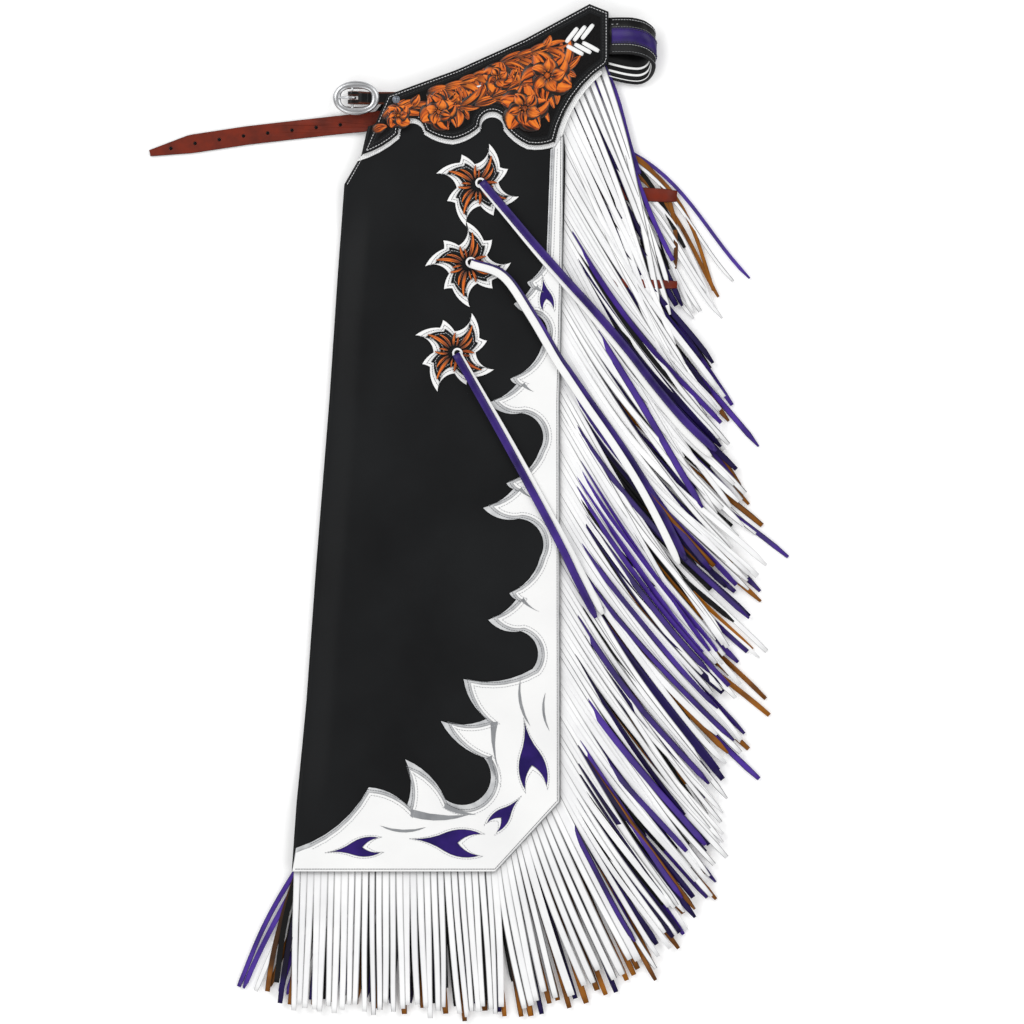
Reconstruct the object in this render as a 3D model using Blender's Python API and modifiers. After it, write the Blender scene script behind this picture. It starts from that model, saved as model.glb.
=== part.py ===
# Western riding chaps, folded in half at the back belt and laid flat: one leg on top with its
# outside up, the other beneath it. X runs to the wing side, Y to the waist and Z up from the table.
# Tables are in millimetres, and MM turns them to metres where a mesh is made.

import math

import bmesh
import bpy
import numpy as np

MM = 0.001
GAP = 0.3  # between pieces that touch

# Driving dimensions
LEATHER = 2.5
FRINGE_LEATHER = 1.2
FRINGE_WIDTH = 5.2  # where the strands have room for it
STRAND_SHARE = 0.84  # how much of the room between two strands one of them takes
BACKING_WIDTH = 9.0
CUT_DEPTH = 2.0  # the cuts between strands run this far in under the panel's edge
STRAP_LEATHER = 1.8
BORDER_BASE_LEATHER = 1.0
BORDER_TOP_LEATHER = 1.5
INLAY_LEATHER = 0.8
PIPING_LEATHER = 1.5
YOKE_LEATHER = 3.0
LACING_LEATHER = 1.2
TAB_LEATHER = 2.2
BILLET_LEATHER = 2.6
BILLET_WIDTH = 19.5
BELT_LEATHER = 4.0
BELT_WIDTH = 38.5
STRIPE_WIDTH = 16.0
STRIPE_LEATHER = 1.2
STRING_LEATHER = 1.6
STRING_WIDTH = 8.0
ROSETTE_LEATHER = 1.2
SILVER_MARGIN = 4.5  # how far the silver layer shows past the white one
PIPING_MARGIN = 5.0
PIPING_HIDDEN = 9.0  # how far the piping reaches in under the yoke
HOLE_DIAMETER = 4.6
EDGE_DROP = 0.0088  # the fringe sinks by this share of its distance from the panels' edge
ROLL_WIDTH = 32.0  # the leg's inner edge rolls down over this width

# Heights, each piece on the one beneath
UNDER_FRINGE_Z = LEATHER + GAP
BROWN_Z = UNDER_FRINGE_Z + FRINGE_LEATHER + GAP
PURPLE_Z = BROWN_Z + STRAP_LEATHER + GAP
WHITE_Z = PURPLE_Z + FRINGE_LEATHER + GAP
LEG_Z = WHITE_Z + FRINGE_LEATHER + GAP
LEG_TOP = LEG_Z + LEATHER
BORDER_BASE_Z = LEG_TOP + GAP
BORDER_TOP_Z = BORDER_BASE_Z + BORDER_BASE_LEATHER + GAP
PIPING_Z = LEG_TOP + GAP
YOKE_Z = PIPING_Z + PIPING_LEATHER + GAP
YOKE_TOP = YOKE_Z + YOKE_LEATHER
TAB_Z = YOKE_Z - GAP - TAB_LEATHER
BELT_TOP_Z = YOKE_Z - GAP - BELT_LEATHER
ROSETTE_Z = LEG_TOP + GAP
ROSETTE_STEP = ROSETTE_LEATHER + GAP
ROSETTE_TOP = ROSETTE_Z + 3 * ROSETTE_STEP - GAP

# Leg outline: height up the leg, then its inner edge and its wing edge
LEG_EDGES = (
    # y, left, right
    (-378, -177, 36),
    (-305, -172, 103),
    (-200, -162, 103),
    (-60, -152, 102.5),
    (115, -138, 101.5),
    (250, -129, 100.5),
    (341, -122, 99.5),
    (372, -104, 98.5),
    (402, -97, 100),
    (410, -58, 102),
    (431, -58, 112),
    (449, 2, 116),
    (478, 60, 116),
    (512, 112, 117),
)

# The lower leg is whole at its waist, where nothing else is let in
WAIST_EDGES = (
    # y, left, right
    (418, -90, 104),
    (431, -79, 111),
    (449, 2, 131),
    (467, 40, 153),
    (478, 58, 153),
    (512, 110, 153),
    (522, 128, 153),
)

# The line that the fringe hangs from, down the wing edge, round the corner and along the hem
FRINGE_EDGE = (
    # x, y
    (153, 467),
    (131, 449),
    (112, 431),
    (102, 410),
    (99.5, 385),
    (101.5, 115),
    (103, -200),
    (103, -305),
    (36, -378),
    (-176, -378),
)

# Outlines are corners with the bulge of the arc to the next corner: the arc's height over half
# its chord, positive to the right of the way round, which is outward on these outlines
YOKE = (
    # x, y, bulge
    (-103, 372, 0.12),
    (-66, 393, -1.05),
    (-38, 397, 0.14),
    (-9, 387, 0.16),
    (19, 401, -1.15),
    (46, 401, 0.14),
    (70, 382, 0.14),
    (97, 385, -0.20),
    (152, 466, 0.0),
    (154, 472, 0.0),
    (154, 521, 0.0),
    (134, 529, -0.055),
    (-77, 434, 0.0),
)
LACES = 4
LACE_CENTRE = (128, 489)
LACE_HEADING = 222
LACE_SLANT = 38
LACE_PITCH = 8.6
LACE_LENGTH = 17.0
LACE_WIDTH = 3.8
LACE_JOIN = 2.4
YOKE_PIPED = 8  # the first corners, whose edge shows piping

# One scroll of the border: a share of its height down, a share of its reach in, and the bulge
SCROLL = (
    # down, reach, bulge
    (0.00, 0.10, -0.24),
    (0.30, 0.66, 0.22),
    (0.36, 0.52, -0.16),
    (0.52, 1.00, 0.28),
    (0.60, 0.50, -0.55),
)
SCROLLS = (
    # top, height, reach
    (268, 98, 33),
    (170, 108, 55),
    (62, 112, 60),
    (-50, 122, 56),
)
BORDER_END = 373  # the border's upper end, just under the yoke's piping
SCROLL_INSET = 9.0  # the plain band that the scrolls stand on

# The lower corner's fan is alike on both sides of the corner's diagonal. This is one side of it,
# from its wing end to the hollow in the middle, as seen from the middle of the cut-off corner
FAN_CENTRE = (69.5, -341.5)
FAN_HEADING = 137.4
HALF_FAN = (
    # turn from the diagonal, reach, bulge
    (51, 172, -0.20),
    (27, 172, 0.20),
    (31, 124, -0.20),
    (13, 142, 0.20),
    (22, 92, -0.90),
)
HEM_BAND_LEFT = (-173, -358)

# Leaf-shaped windows in the border that show the purple inlays: where, which way they point
WINDOWS = (
    # x, y, heading, length, width
    (88, 226, 100, 34, 10),
    (70, -258, 100, 62, 16),
    (-14, -349, 175, 62, 16),
    (45, -318, 47, 40, 11),
    (-112, -352, 190, 52, 11),
)
WINDOW = (
    # share of the length on, share of the width to the left, bulge
    (0.50, 0.00, -0.10),
    (-0.15, 0.50, 0.30),
    (-0.50, 0.00, 0.30),
    (-0.15, -0.50, -0.10),
)

ROSETTES = (
    # x, y, turn in degrees
    (17, 340, 8),
    (7, 257, 26),
    (-7, 165, 0),
)
ROSETTE_ARMS = 4
ROSETTE_RADIUS = 44.0
ARM = (
    # turn as a share of an arm, radius as a share, bulge
    (0.00, 0.52, 0.10),
    (0.34, 0.80, -0.12),
    (0.44, 0.64, 0.16),
    (0.86, 1.00, -0.30),
)
FLOWER_SHARE = 0.56

# Strings: x, y of the route, and what the lower string lies on there
STRING_ROUTES = (
    (
        (20, 342, "rosette"),
        (52, 303, "rosette"),
        (80, 269, "border"),
        (112, 232, "border"),
        (134, 207, "fringe"),
        (167, 167, "fringe"),
        (197, 127, "fringe"),
        (228, 89, "fringe"),
        (261, 56, "fringe"),
    ),
    (
        (10, 259, "rosette"),
        (45, 246, "rosette"),
        (74, 206, "border"),
        (101, 161, "border"),
        (113, 144, "border"),
        (134, 114, "fringe"),
        (164, 72, "fringe"),
        (190, 32, "fringe"),
        (213, -9, "fringe"),
        (235, -53, "fringe"),
    ),
    (
        (-4, 164, "rosette"),
        (22, 120, "rosette"),
        (50, 72, "border"),
        (88, 4, "border"),
        (111, -38, "border"),
        (126, -67, "fringe"),
        (148, -109, "fringe"),
    ),
)
STRING_STEP = STRING_LEATHER + GAP
STRING_SEATS = {
    "rosette": ROSETTE_TOP,
    "border": BORDER_TOP_Z + BORDER_TOP_LEATHER,
    "fringe": WHITE_Z + FRINGE_LEATHER,
}
STRING_SPREAD = 8.0  # the upper string lies this far to one side of the lower one
STRING_PAIRS = (
    # lower colour, upper colour, side of the upper one
    ("white", "purple", 1),
    ("purple", "white", -1),
    ("white", "purple", -1),
)

# How the strands run: distance along the fringe edge, angle where they leave it, angle at the
# tip, and length
WHITE_SECTIONS = (
    (0, -62, -56, 195),
    (110, -60, -51, 290),
    (280, -60, -46, 318),
    (500, -60, -47, 302),
    (640, -59, -52, 288),
    (740, -60, -57, 226),
    (800, -65, -62, 186),
    (895, -85, -84, 150),
    (1000, -90, -89, 143),
    (1104, -92, -92, 140),
)
PURPLE_SECTIONS = (
    (0, -58, -52, 225),
    (110, -56, -50, 300),
    (300, -55, -42, 322),
    (500, -55, -45, 305),
    (640, -56, -49, 292),
    (740, -58, -54, 232),
    (800, -66, -62, 180),
    (895, -87, -84, 143),
    (1104, -108, -100, 132),
)
BROWN_SECTIONS = (
    (300, -52, -46, 308),
    (500, -52, -47, 300),
    (640, -54, -50, 292),
    (740, -57, -55, 240),
    (800, -62, -60, 194),
    (895, -83, -82, 157),
    (1104, -112, -100, 132),
)
UNDER_SECTIONS = (
    (0, -24, -70, 250),
    (90, -40, -60, 285),
    (300, -50, -43, 318),
    (500, -48, -45, 300),
    (640, -52, -50, 288),
    (740, -56, -56, 230),
    (800, -60, -62, 184),
    (895, -84, -84, 148),
    (1104, -118, -112, 134),
)
FRINGES = (
    # name, colour, height, sections, first place, last place, pitch
    ("fringe_white_top", "white", WHITE_Z, WHITE_SECTIONS, 10, 250, 9.4),
    ("fringe_white_middle", "white", WHITE_Z, WHITE_SECTIONS, 260, 510, 9.4),
    ("fringe_white_lower", "white", WHITE_Z, WHITE_SECTIONS, 520, 782, 9.4),
    ("fringe_white_corner", "white", WHITE_Z, WHITE_SECTIONS, 801, 884, 8.3),
    ("fringe_white_hem", "white", WHITE_Z, WHITE_SECTIONS, 903, 1098, 8.1),
    ("fringe_purple_upper", "purple", PURPLE_Z, PURPLE_SECTIONS, 40, 410, 16.5),
    ("fringe_purple_lower", "purple", PURPLE_Z, PURPLE_SECTIONS, 425, 786, 16.5),
    ("fringe_purple_hem", "purple", PURPLE_Z, PURPLE_SECTIONS, 900, 1098, 24.0),
    ("fringe_brown_side", "brown", BROWN_Z, BROWN_SECTIONS, 330, 786, 27.0),
    ("fringe_brown_corner", "brown", BROWN_Z, BROWN_SECTIONS, 798, 884, 12.0),
    ("fringe_brown_hem", "brown", BROWN_Z, BROWN_SECTIONS, 900, 1098, 32.0),
    ("under_fringe_upper", "white", UNDER_FRINGE_Z, UNDER_SECTIONS, 34, 330, 19.0),
    ("under_fringe_lower", "purple", UNDER_FRINGE_Z, UNDER_SECTIONS, 345, 786, 26.0),
    ("under_fringe_hem", "white", UNDER_FRINGE_Z, UNDER_SECTIONS, 1000, 1098, 16.0),
)
RAGGED = 0.03  # how unevenly long the strands are, as a share
TURN_PER_STEP = 7.0  # degrees that a strand bends between two of its sections

BELT_PATH = (
    # x, y, z of the belt's middle
    (121, 496, BELT_TOP_Z + BELT_LEATHER / 2),
    (152, 496, BELT_TOP_Z + BELT_LEATHER / 2),
    (166, 496, 14.6),
    (180, 495, 18.2),
    (193, 491, 18.4),
    (201, 484, 13.6),
    (198, 475, 7.6),
    (189, 470, 5.0),
    (176, 471, LEATHER + GAP + BELT_LEATHER / 2),
    (158, 476, LEATHER + GAP + BELT_LEATHER / 2),
    (141, 482, LEATHER + GAP + BELT_LEATHER / 2),
)
STRIPE_STATIONS = (4, 19)  # where the stripe starts and ends, of the belt's sections
BILLET_PATH = (
    # x, y, height of its underside, share of its full width
    (-72, 411, UNDER_FRINGE_Z, 1.0),
    (-104, 406, UNDER_FRINGE_Z, 1.0),
    (-122, 404.5, 2.0, 1.0),
    (-142, 402.5, 0.5, 1.0),
    (-160, 400.5, 0.0, 1.0),
    (-225, 393, 0.0, 1.0),
    (-284, 384, 0.0, 1.0),
    (-322, 375.5, 0.0, 0.42),
    (-327, 374.5, 0.0, 0.34),
)
BILLET_HOLES = 8
HOLE_PITCH = 25.4
FIRST_HOLE_X = -127.0
LEG_STRAP_INNER_END = 60
LEG_STRAPS = (
    # name, y, far end, far end's y, width
    ("leg_strap_upper", 336, 226, 328, 16.0),
    ("leg_strap_lower", 240, 226, 235, 10.0),
)

# Buckle
BUCKLE_CENTRE = (-110, 431)
FRAME_LENGTH = 49.0
FRAME_WIDTH = 36.0
RIM = 8.6
WINDOW_POWER = 3.2  # 2 would be an ellipse
FRAME_THICKNESS = 3.6
BAR_X = -114.0
BAR_WIDTH = 3.0
TAB_WIDTH = 13.0
FRAME_Z = TAB_Z + TAB_LEATHER + GAP
BAR_Z = FRAME_Z + FRAME_THICKNESS / 2
PRONG_WIDTH = 3.0
PRONG_THICKNESS = 1.6
PRONG_TIP_X = -129.5
SLOT_REACH = 6.5  # the prong's slot in the tab ends this far past the bar
PRONG_EYE = 2.75
RIVET = (-68, 429)
RIVET_RADIUS = 4.2
SHANK_RADIUS = 1.8

COLOURS = {
    # name: sRGB colour, roughness, metallic
    "black": ("17181a", 0.50, 0.0),
    "white": ("eceae6", 0.55, 0.0),
    "purple": ("3d2184", 0.55, 0.0),
    "brown": ("a5651a", 0.65, 0.0),
    "strap": ("8a3b22", 0.60, 0.0),
    "orange": ("d9761f", 0.50, 0.0),
    "silver": ("b9bbbd", 0.35, 0.5),
    "chrome": ("d4d5d6", 0.18, 1.0),
}

OBJECT_NAME = "leather_chaps"


def linear(value):
    """One sRGB channel, 0 to 1, as a linear one."""
    if value <= 0.04045:
        return value / 12.92
    return ((value + 0.055) / 1.055) ** 2.4


def make_material(name):
    code, roughness, metallic = COLOURS[name]
    material = bpy.data.materials.new(name)
    material.use_nodes = True
    shader = material.node_tree.nodes["Principled BSDF"]
    channels = [linear(int(code[i : i + 2], 16) / 255) for i in (0, 2, 4)]
    shader.inputs["Base Color"].default_value = (*channels, 1.0)
    shader.inputs["Roughness"].default_value = roughness
    shader.inputs["Metallic"].default_value = metallic
    return material


def clear_scene():
    for item in list(bpy.data.objects):
        bpy.data.objects.remove(item)


def new_collection(name):
    collection = bpy.data.collections.new(name)
    bpy.context.scene.collection.children.link(collection)
    return collection


def add_object(name, data, colour, collection):
    item = bpy.data.objects.new(name, data)
    data.materials.clear()
    data.materials.append(MATERIALS[colour])
    collection.objects.link(item)
    return item


# ---- curves and outlines ----


def smooth_line(points, steps):
    """A Catmull-Rom line through the points, in any number of columns."""
    rows = np.array(points, dtype=float)
    ends = np.vstack([2 * rows[0] - rows[1], rows, 2 * rows[-1] - rows[-2]])
    line = []
    for i in range(1, len(ends) - 2):
        before, start, end, after = ends[i - 1 : i + 3]
        for t in np.arange(steps) / steps:
            line.append(
                0.5
                * (
                    2 * start
                    + (end - before) * t
                    + (2 * before - 5 * start + 4 * end - after) * t**2
                    + (3 * start - before - 3 * end + after) * t**3
                )
            )
    line.append(rows[-1])
    return np.array(line)


def arc_points(start, end, bulge):
    """Points from start up to, but not including, end, along an arc of that bulge."""
    start = np.array(start[:2], dtype=float)
    end = np.array(end[:2], dtype=float)
    chord = end - start
    if abs(bulge) < 0.01:
        return [start]
    turn = 4 * math.atan(bulge)
    count = max(2, math.ceil(abs(turn) / math.radians(34)))
    across = np.array([chord[1], -chord[0]]) / 2
    centre = start + chord / 2 - across / math.tan(turn / 2)
    arm = start - centre
    points = []
    for i in range(count):
        angle = turn * i / count
        points.append(
            centre
            + np.array(
                [
                    arm[0] * math.cos(angle) - arm[1] * math.sin(angle),
                    arm[0] * math.sin(angle) + arm[1] * math.cos(angle),
                ]
            )
        )
    return points


def outline(rows):
    points = []
    for i, row in enumerate(rows):
        points += arc_points(row, rows[(i + 1) % len(rows)], row[2])
    return points


def moved_out(rows, margin):
    """The same outline with its corners moved outward by margin, on the bisector of each corner."""
    corners = np.array([row[:2] for row in rows], dtype=float)
    result = []
    for i, row in enumerate(rows):
        inward_way = corners[i] - corners[i - 1]
        onward_way = corners[(i + 1) % len(rows)] - corners[i]
        normals = []
        for way in (inward_way, onward_way):
            normals.append(np.array([way[1], -way[0]]) / np.linalg.norm(way))
        bisector = normals[0] + normals[1]
        length = max(np.linalg.norm(bisector), 0.75)
        shift = bisector / length**2 * 2 * margin
        result.append((corners[i][0] + shift[0], corners[i][1] + shift[1], row[2]))
    return result


def mesh_of(curve_object):
    """The curve as a mesh with its caps welded on."""
    graph = bpy.context.evaluated_depsgraph_get()
    mesh = bpy.data.meshes.new_from_object(curve_object.evaluated_get(graph))
    shape = bmesh.new()
    shape.from_mesh(mesh)
    bmesh.ops.remove_doubles(shape, verts=shape.verts, dist=0.02 * MM)
    bmesh.ops.recalc_face_normals(shape, faces=shape.faces)
    shape.to_mesh(mesh)
    shape.free()
    return mesh


def flat_curve(loops, thickness):
    curve = bpy.data.curves.new("flat", "CURVE")
    curve.dimensions = "2D"
    curve.fill_mode = "BOTH"
    curve.extrude = thickness / 2 * MM
    for loop in loops:
        spline = curve.splines.new("POLY")
        spline.points.add(len(loop) - 1)
        spline.use_cyclic_u = True
        for point, place in zip(spline.points, loop):
            point.co = (place[0] * MM, place[1] * MM, 0.0, 1.0)
    return curve


def flat_mesh(loops, bottom, thickness):
    """A flat plate of that outline, with any further loops as holes."""
    holder = bpy.data.objects.new("flat", flat_curve(loops, thickness))
    bpy.context.scene.collection.objects.link(holder)
    mesh = mesh_of(holder)
    bpy.data.objects.remove(holder)
    for vertex in mesh.vertices:
        vertex.co.z += (bottom + thickness / 2) * MM
    return mesh


def flat_piece(name, loops, bottom, thickness, colour):
    add_object(name, flat_mesh(loops, bottom, thickness), colour, PARTS)


def circle(x, y, radius, count=10):
    turns = [math.tau * i / count for i in range(count)]
    return [(x + radius * math.cos(a), y + radius * math.sin(a)) for a in turns]


def ellipse(x, y, length, width, count):
    turns = [math.tau * i / count for i in range(count)]
    return [(x + length / 2 * math.cos(a), y + width / 2 * math.sin(a)) for a in turns]


# ---- straps: a rectangle swept along a path ----


def strap_mesh(path, widths, thickness, across):
    """A strap of that thickness whose middle follows path; across gives its width's direction."""
    path = np.array(path, dtype=float)
    along = np.gradient(path, axis=0)
    along /= np.linalg.norm(along, axis=1)[:, None]
    across = across / np.linalg.norm(across, axis=1)[:, None]
    up = np.cross(along, across)
    up /= np.linalg.norm(up, axis=1)[:, None]
    side = across * np.array(widths)[:, None] / 2
    lift = up * thickness / 2
    corners = np.stack(
        [path - side - lift, path + side - lift, path + side + lift, path - side + lift], axis=1
    )
    shape = bmesh.new()
    rings = [[shape.verts.new(corner * MM) for corner in ring] for ring in corners]
    for ring, following in zip(rings, rings[1:]):
        for k in range(4):
            shape.faces.new(
                (ring[k], ring[(k + 1) % 4], following[(k + 1) % 4], following[k])
            )
    shape.faces.new(rings[0][::-1])
    shape.faces.new(rings[-1])
    bmesh.ops.recalc_face_normals(shape, faces=shape.faces)
    mesh = bpy.data.meshes.new("strap")
    shape.to_mesh(mesh)
    shape.free()
    return mesh


def level_across(path):
    """Directions level with the table and square to the path."""
    along = np.gradient(np.array(path, dtype=float), axis=0)
    return np.stack([-along[:, 1], along[:, 0], np.zeros(len(along))], axis=1)


def cut(item, cutters):
    """Takes the cutters out of item, by one modifier each."""
    for number, mesh in enumerate(cutters):
        cutter = bpy.data.objects.new(f"cut_{item.name}_{number}", mesh)
        CUTTERS.objects.link(cutter)
        cutter.hide_render = True
        cutter.display_type = "WIRE"
        modifier = item.modifiers.new("cut", "BOOLEAN")
        modifier.object = cutter
        modifier.solver = "EXACT"


def box_mesh(low, high):
    shape = bmesh.new()
    bmesh.ops.create_cube(shape, size=1.0)
    low = np.array(low, dtype=float)
    high = np.array(high, dtype=float)
    for vertex in shape.verts:
        vertex.co = ((low + high) / 2 + np.array(vertex.co) * (high - low)) * MM
    mesh = bpy.data.meshes.new("box")
    shape.to_mesh(mesh)
    shape.free()
    return mesh


# ---- legs ----


def leg_rows(edges, spacing):
    """Heights up the leg with the two edges there, no further apart than spacing."""
    table = np.array(edges, dtype=float)
    heights = []
    for low, high in zip(table[:-1, 0], table[1:, 0]):
        count = max(1, math.ceil((high - low) / spacing))
        heights += list(np.linspace(low, high, count, endpoint=False))
    heights.append(table[-1, 0])
    return [(y, *(np.interp(y, table[:, 0], table[:, k]) for k in (1, 2))) for y in heights]


def ease(value):
    value = min(max(value, 0.0), 1.0)
    return value * value * (3 - 2 * value)


def roll(x, y, left):
    """How far the upper leg has rolled down at a point, most at its inner edge, mid-length."""
    full = LEG_Z - LEATHER - GAP
    near_edge = 1 - ease((x - left) / ROLL_WIDTH)
    mid_length = ease((y + 340) / 90) * ease((350 - y) / 70)
    return full * near_edge * mid_length


def leg_mesh(edges, spacing, shares, rolled):
    """The leg's lower face: rows up the leg, with points at those shares of the way across."""
    shape = bmesh.new()
    rows = []
    for y, left, right in leg_rows(edges, spacing):
        row = []
        for share in shares:
            x = left + (right - left) * share
            z = LEG_Z - roll(x, y, left) if rolled else 0.0
            row.append(shape.verts.new((x * MM, y * MM, z * MM)))
        rows.append(row)
    for row, above in zip(rows, rows[1:]):
        for k in range(len(row) - 1):
            shape.faces.new((row[k], row[k + 1], above[k + 1], above[k]))
    mesh = bpy.data.meshes.new("leg")
    shape.to_mesh(mesh)
    shape.free()
    return mesh


def thicken(item, thickness):
    modifier = item.modifiers.new("leather", "SOLIDIFY")
    modifier.thickness = thickness * MM
    modifier.offset = 1.0
    modifier.use_even_offset = True


def make_legs():
    below_waist = [row for row in LEG_EDGES if row[0] < 403]
    whole = add_object(
        "under_leg", leg_mesh((*below_waist, *WAIST_EDGES), 400, (0, 1), False), "black", PARTS
    )
    thicken(whole, LEATHER)
    shares = (0, 0.03, 0.06, 0.1, 0.14, 0.4, 0.7, 1)
    upper = add_object("top_leg", leg_mesh(LEG_EDGES, 38, shares, True), "black", PARTS)
    thicken(upper, LEATHER)


# ---- border ----


def wing_x(y):
    table = np.array(LEG_EDGES, dtype=float)
    return float(np.interp(y, table[:, 0], table[:, 2]))


def corner_fan():
    """The fan's outline from the wing side round to the hem side, which is its mirror image."""
    wing_side = list(HALF_FAN)
    hem_side = [
        (-HALF_FAN[i][0], HALF_FAN[i][1], HALF_FAN[i - 1][2])
        for i in range(len(HALF_FAN) - 1, 0, -1)
    ]
    rows = []
    for turn, reach, bulge in wing_side + hem_side:
        angle = math.radians(FAN_HEADING - turn)
        x = FAN_CENTRE[0] + reach * math.cos(angle)
        y = FAN_CENTRE[1] + reach * math.sin(angle)
        rows.append((x, y, bulge))
    return rows


def window_rows(x, y, heading, length, width):
    """A leaf of that length and width about x, y, with its point ahead."""
    angle = math.radians(heading)
    onward = np.array([math.cos(angle), math.sin(angle)]) * length
    left = np.array([-math.sin(angle), math.cos(angle)]) * width
    return [
        (x + onward[0] * on + left[0] * aside, y + onward[1] * on + left[1] * aside, bulge)
        for on, aside, bulge in WINDOW
    ]


def border_rows():
    """The border's outline the right way round: outer edge up, then the scrolls back down."""
    rows = [(36, -378, 0.0), (103, -305, 0.0), (101.5, 115, 0.0), (99, BORDER_END, 0.0)]
    rows.append((99 - SCROLL_INSET, BORDER_END, 0.0))
    for top, height, reach in SCROLLS:
        for down, inward, bulge in SCROLL:
            y = top - down * height
            rows.append((wing_x(y) - SCROLL_INSET - inward * reach, y, bulge))
    rows += corner_fan()
    rows.append((*HEM_BAND_LEFT, 0.0))
    rows.append((-177, -378, 0.0))
    return rows


def make_border():
    rows = border_rows()
    inner = rows[5:-1]
    grown = moved_out(rows, SILVER_MARGIN)[5:-1]
    # The silver layer stays inside the panel's own edges, so only the scrolled side grows.
    base = [(x, y, bulge) for x, y, bulge in rows[:4]]
    base.append((rows[4][0] - SILVER_MARGIN, rows[4][1], 0.0))
    base += grown[:-1]
    base.append((inner[-1][0], inner[-1][1] + SILVER_MARGIN, 0.0))
    base.append(rows[-1])
    flat_piece("border_base", [outline(base)], BORDER_BASE_Z, BORDER_BASE_LEATHER, "silver")
    windows = [window_rows(*window) for window in WINDOWS]
    loops = [outline(rows)] + [outline(window) for window in windows]
    flat_piece("border_top", loops, BORDER_TOP_Z, BORDER_TOP_LEATHER, "white")
    for number, window in enumerate(windows, 1):
        inset = moved_out(window, -GAP)
        flat_piece(f"inlay_{number}", [outline(inset)], BORDER_TOP_Z, INLAY_LEATHER, "purple")


# ---- yoke ----


def make_yoke():
    loops = [outline(YOKE), circle(*RIVET, SHANK_RADIUS + GAP)]
    flat_piece("yoke", loops, YOKE_Z, YOKE_LEATHER, "black")
    outer = moved_out(YOKE, PIPING_MARGIN)[:YOKE_PIPED]
    hidden = moved_out(YOKE, -PIPING_HIDDEN)[:YOKE_PIPED]
    # Out along the shown edge and back along the hidden one, whose bulges turn over.
    back = [
        (hidden[i][0], hidden[i][1], -hidden[i - 1][2] if 0 < i else 0.0)
        for i in range(YOKE_PIPED - 1, -1, -1)
    ]
    ahead = [(*row[:2], row[2]) for row in outer[:-1]] + [(*outer[-1][:2], 0.0)]
    flat_piece("yoke_piping", [outline(ahead + back)], PIPING_Z, PIPING_LEATHER, "white")


def make_lacing():
    """Nested chevrons of lace that point back down the yoke, joined along their middle."""
    slant = math.radians(LACE_SLANT)
    heading = math.radians(LACE_HEADING)
    forward = np.array([math.cos(heading), math.sin(heading)])
    sideways = np.array([-forward[1], forward[0]])
    edges = []
    for side in (1, -1):
        arm = -forward * math.cos(slant) + sideways * side * math.sin(slant)
        half = (forward * math.sin(slant) + sideways * side * math.cos(slant)) * LACE_WIDTH / 2
        edge = []
        for number in range(LACES):
            ahead = LACE_PITCH * ((LACES - 1) / 2 - number)
            root = LACE_CENTRE + forward * ahead + sideways * side * LACE_JOIN / 2
            end = root + arm * LACE_LENGTH
            edge += [root + half, end + half, end - half, root - half]
        edges.append(edge)
    loop = edges[0] + edges[1][::-1]
    flat_piece("yoke_lacing", [loop], YOKE_TOP + GAP, LACING_LEATHER, "white")


# ---- rosettes and their strings ----


def pinwheel(x, y, turn, radius):
    rows = []
    for arm in range(ROSETTE_ARMS):
        for share, reach, bulge in ARM:
            angle = math.radians(turn) + math.tau * (arm + share) / ROSETTE_ARMS
            place = (x + radius * reach * math.cos(angle), y + radius * reach * math.sin(angle))
            rows.append((*place, bulge))
    return rows


def flower(x, y, turn, radius):
    """Pointed petals between the rosette's arms, with a notch where two petals meet."""
    rows = []
    for k in range(2 * ROSETTE_ARMS):
        reach = radius * (1.0 if k % 2 == 0 else 0.46)
        angle = math.radians(turn + 64) + math.pi * k / ROSETTE_ARMS
        bulge = 0.12 if k % 2 == 0 else 0.22
        rows.append((x + reach * math.cos(angle), y + reach * math.sin(angle), bulge))
    return rows


def make_rosettes():
    for number, (x, y, turn) in enumerate(ROSETTES, 1):
        base = pinwheel(x, y, turn, ROSETTE_RADIUS)
        middle = moved_out(base, -SILVER_MARGIN * 0.8)
        top = flower(x, y, turn, ROSETTE_RADIUS * FLOWER_SHARE)
        layers = (("base", base, "silver"), ("middle", middle, "black"), ("top", top, "orange"))
        for level, (layer, rows, colour) in enumerate(layers):
            name = f"rosette_{number}_{layer}"
            bottom = ROSETTE_Z + level * ROSETTE_STEP
            flat_piece(name, [outline(rows)], bottom, ROSETTE_LEATHER, colour)


def beside(route, distance, lift):
    """The route moved to its left by distance, growing from its start, and lifted."""
    across = level_across(route)
    across /= np.linalg.norm(across, axis=1)[:, None]
    share = np.linspace(0.25, 1, len(route))[:, None]
    return route + across * distance * share + np.array([0, 0, lift])


def string_line(route):
    """The middle of a string laid along the route, smooth from above and resting on its seats."""
    places = smooth_line([row[:2] for row in route], 3)
    heights = [
        STRING_SEATS[seat] + GAP + STRING_LEATHER / 2 - sunk(np.array([x, y], dtype=float))
        for x, y, seat in route
    ]
    stations = np.arange(len(route)) * 3
    return np.column_stack([places, np.interp(np.arange(len(places)), stations, heights)])


def make_strings():
    for number, (route, pair) in enumerate(zip(STRING_ROUTES, STRING_PAIRS), 1):
        lower_colour, upper_colour, side = pair
        lower = string_line(route)
        upper = beside(lower, STRING_SPREAD * side, STRING_STEP)
        for colour, path in ((lower_colour, lower), (upper_colour, upper)):
            widths = np.full(len(path), STRING_WIDTH)
            mesh = strap_mesh(path, widths, STRING_LEATHER, level_across(path))
            add_object(f"string_{number}_{colour}", mesh, colour, PARTS)


# ---- fringe ----


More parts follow.
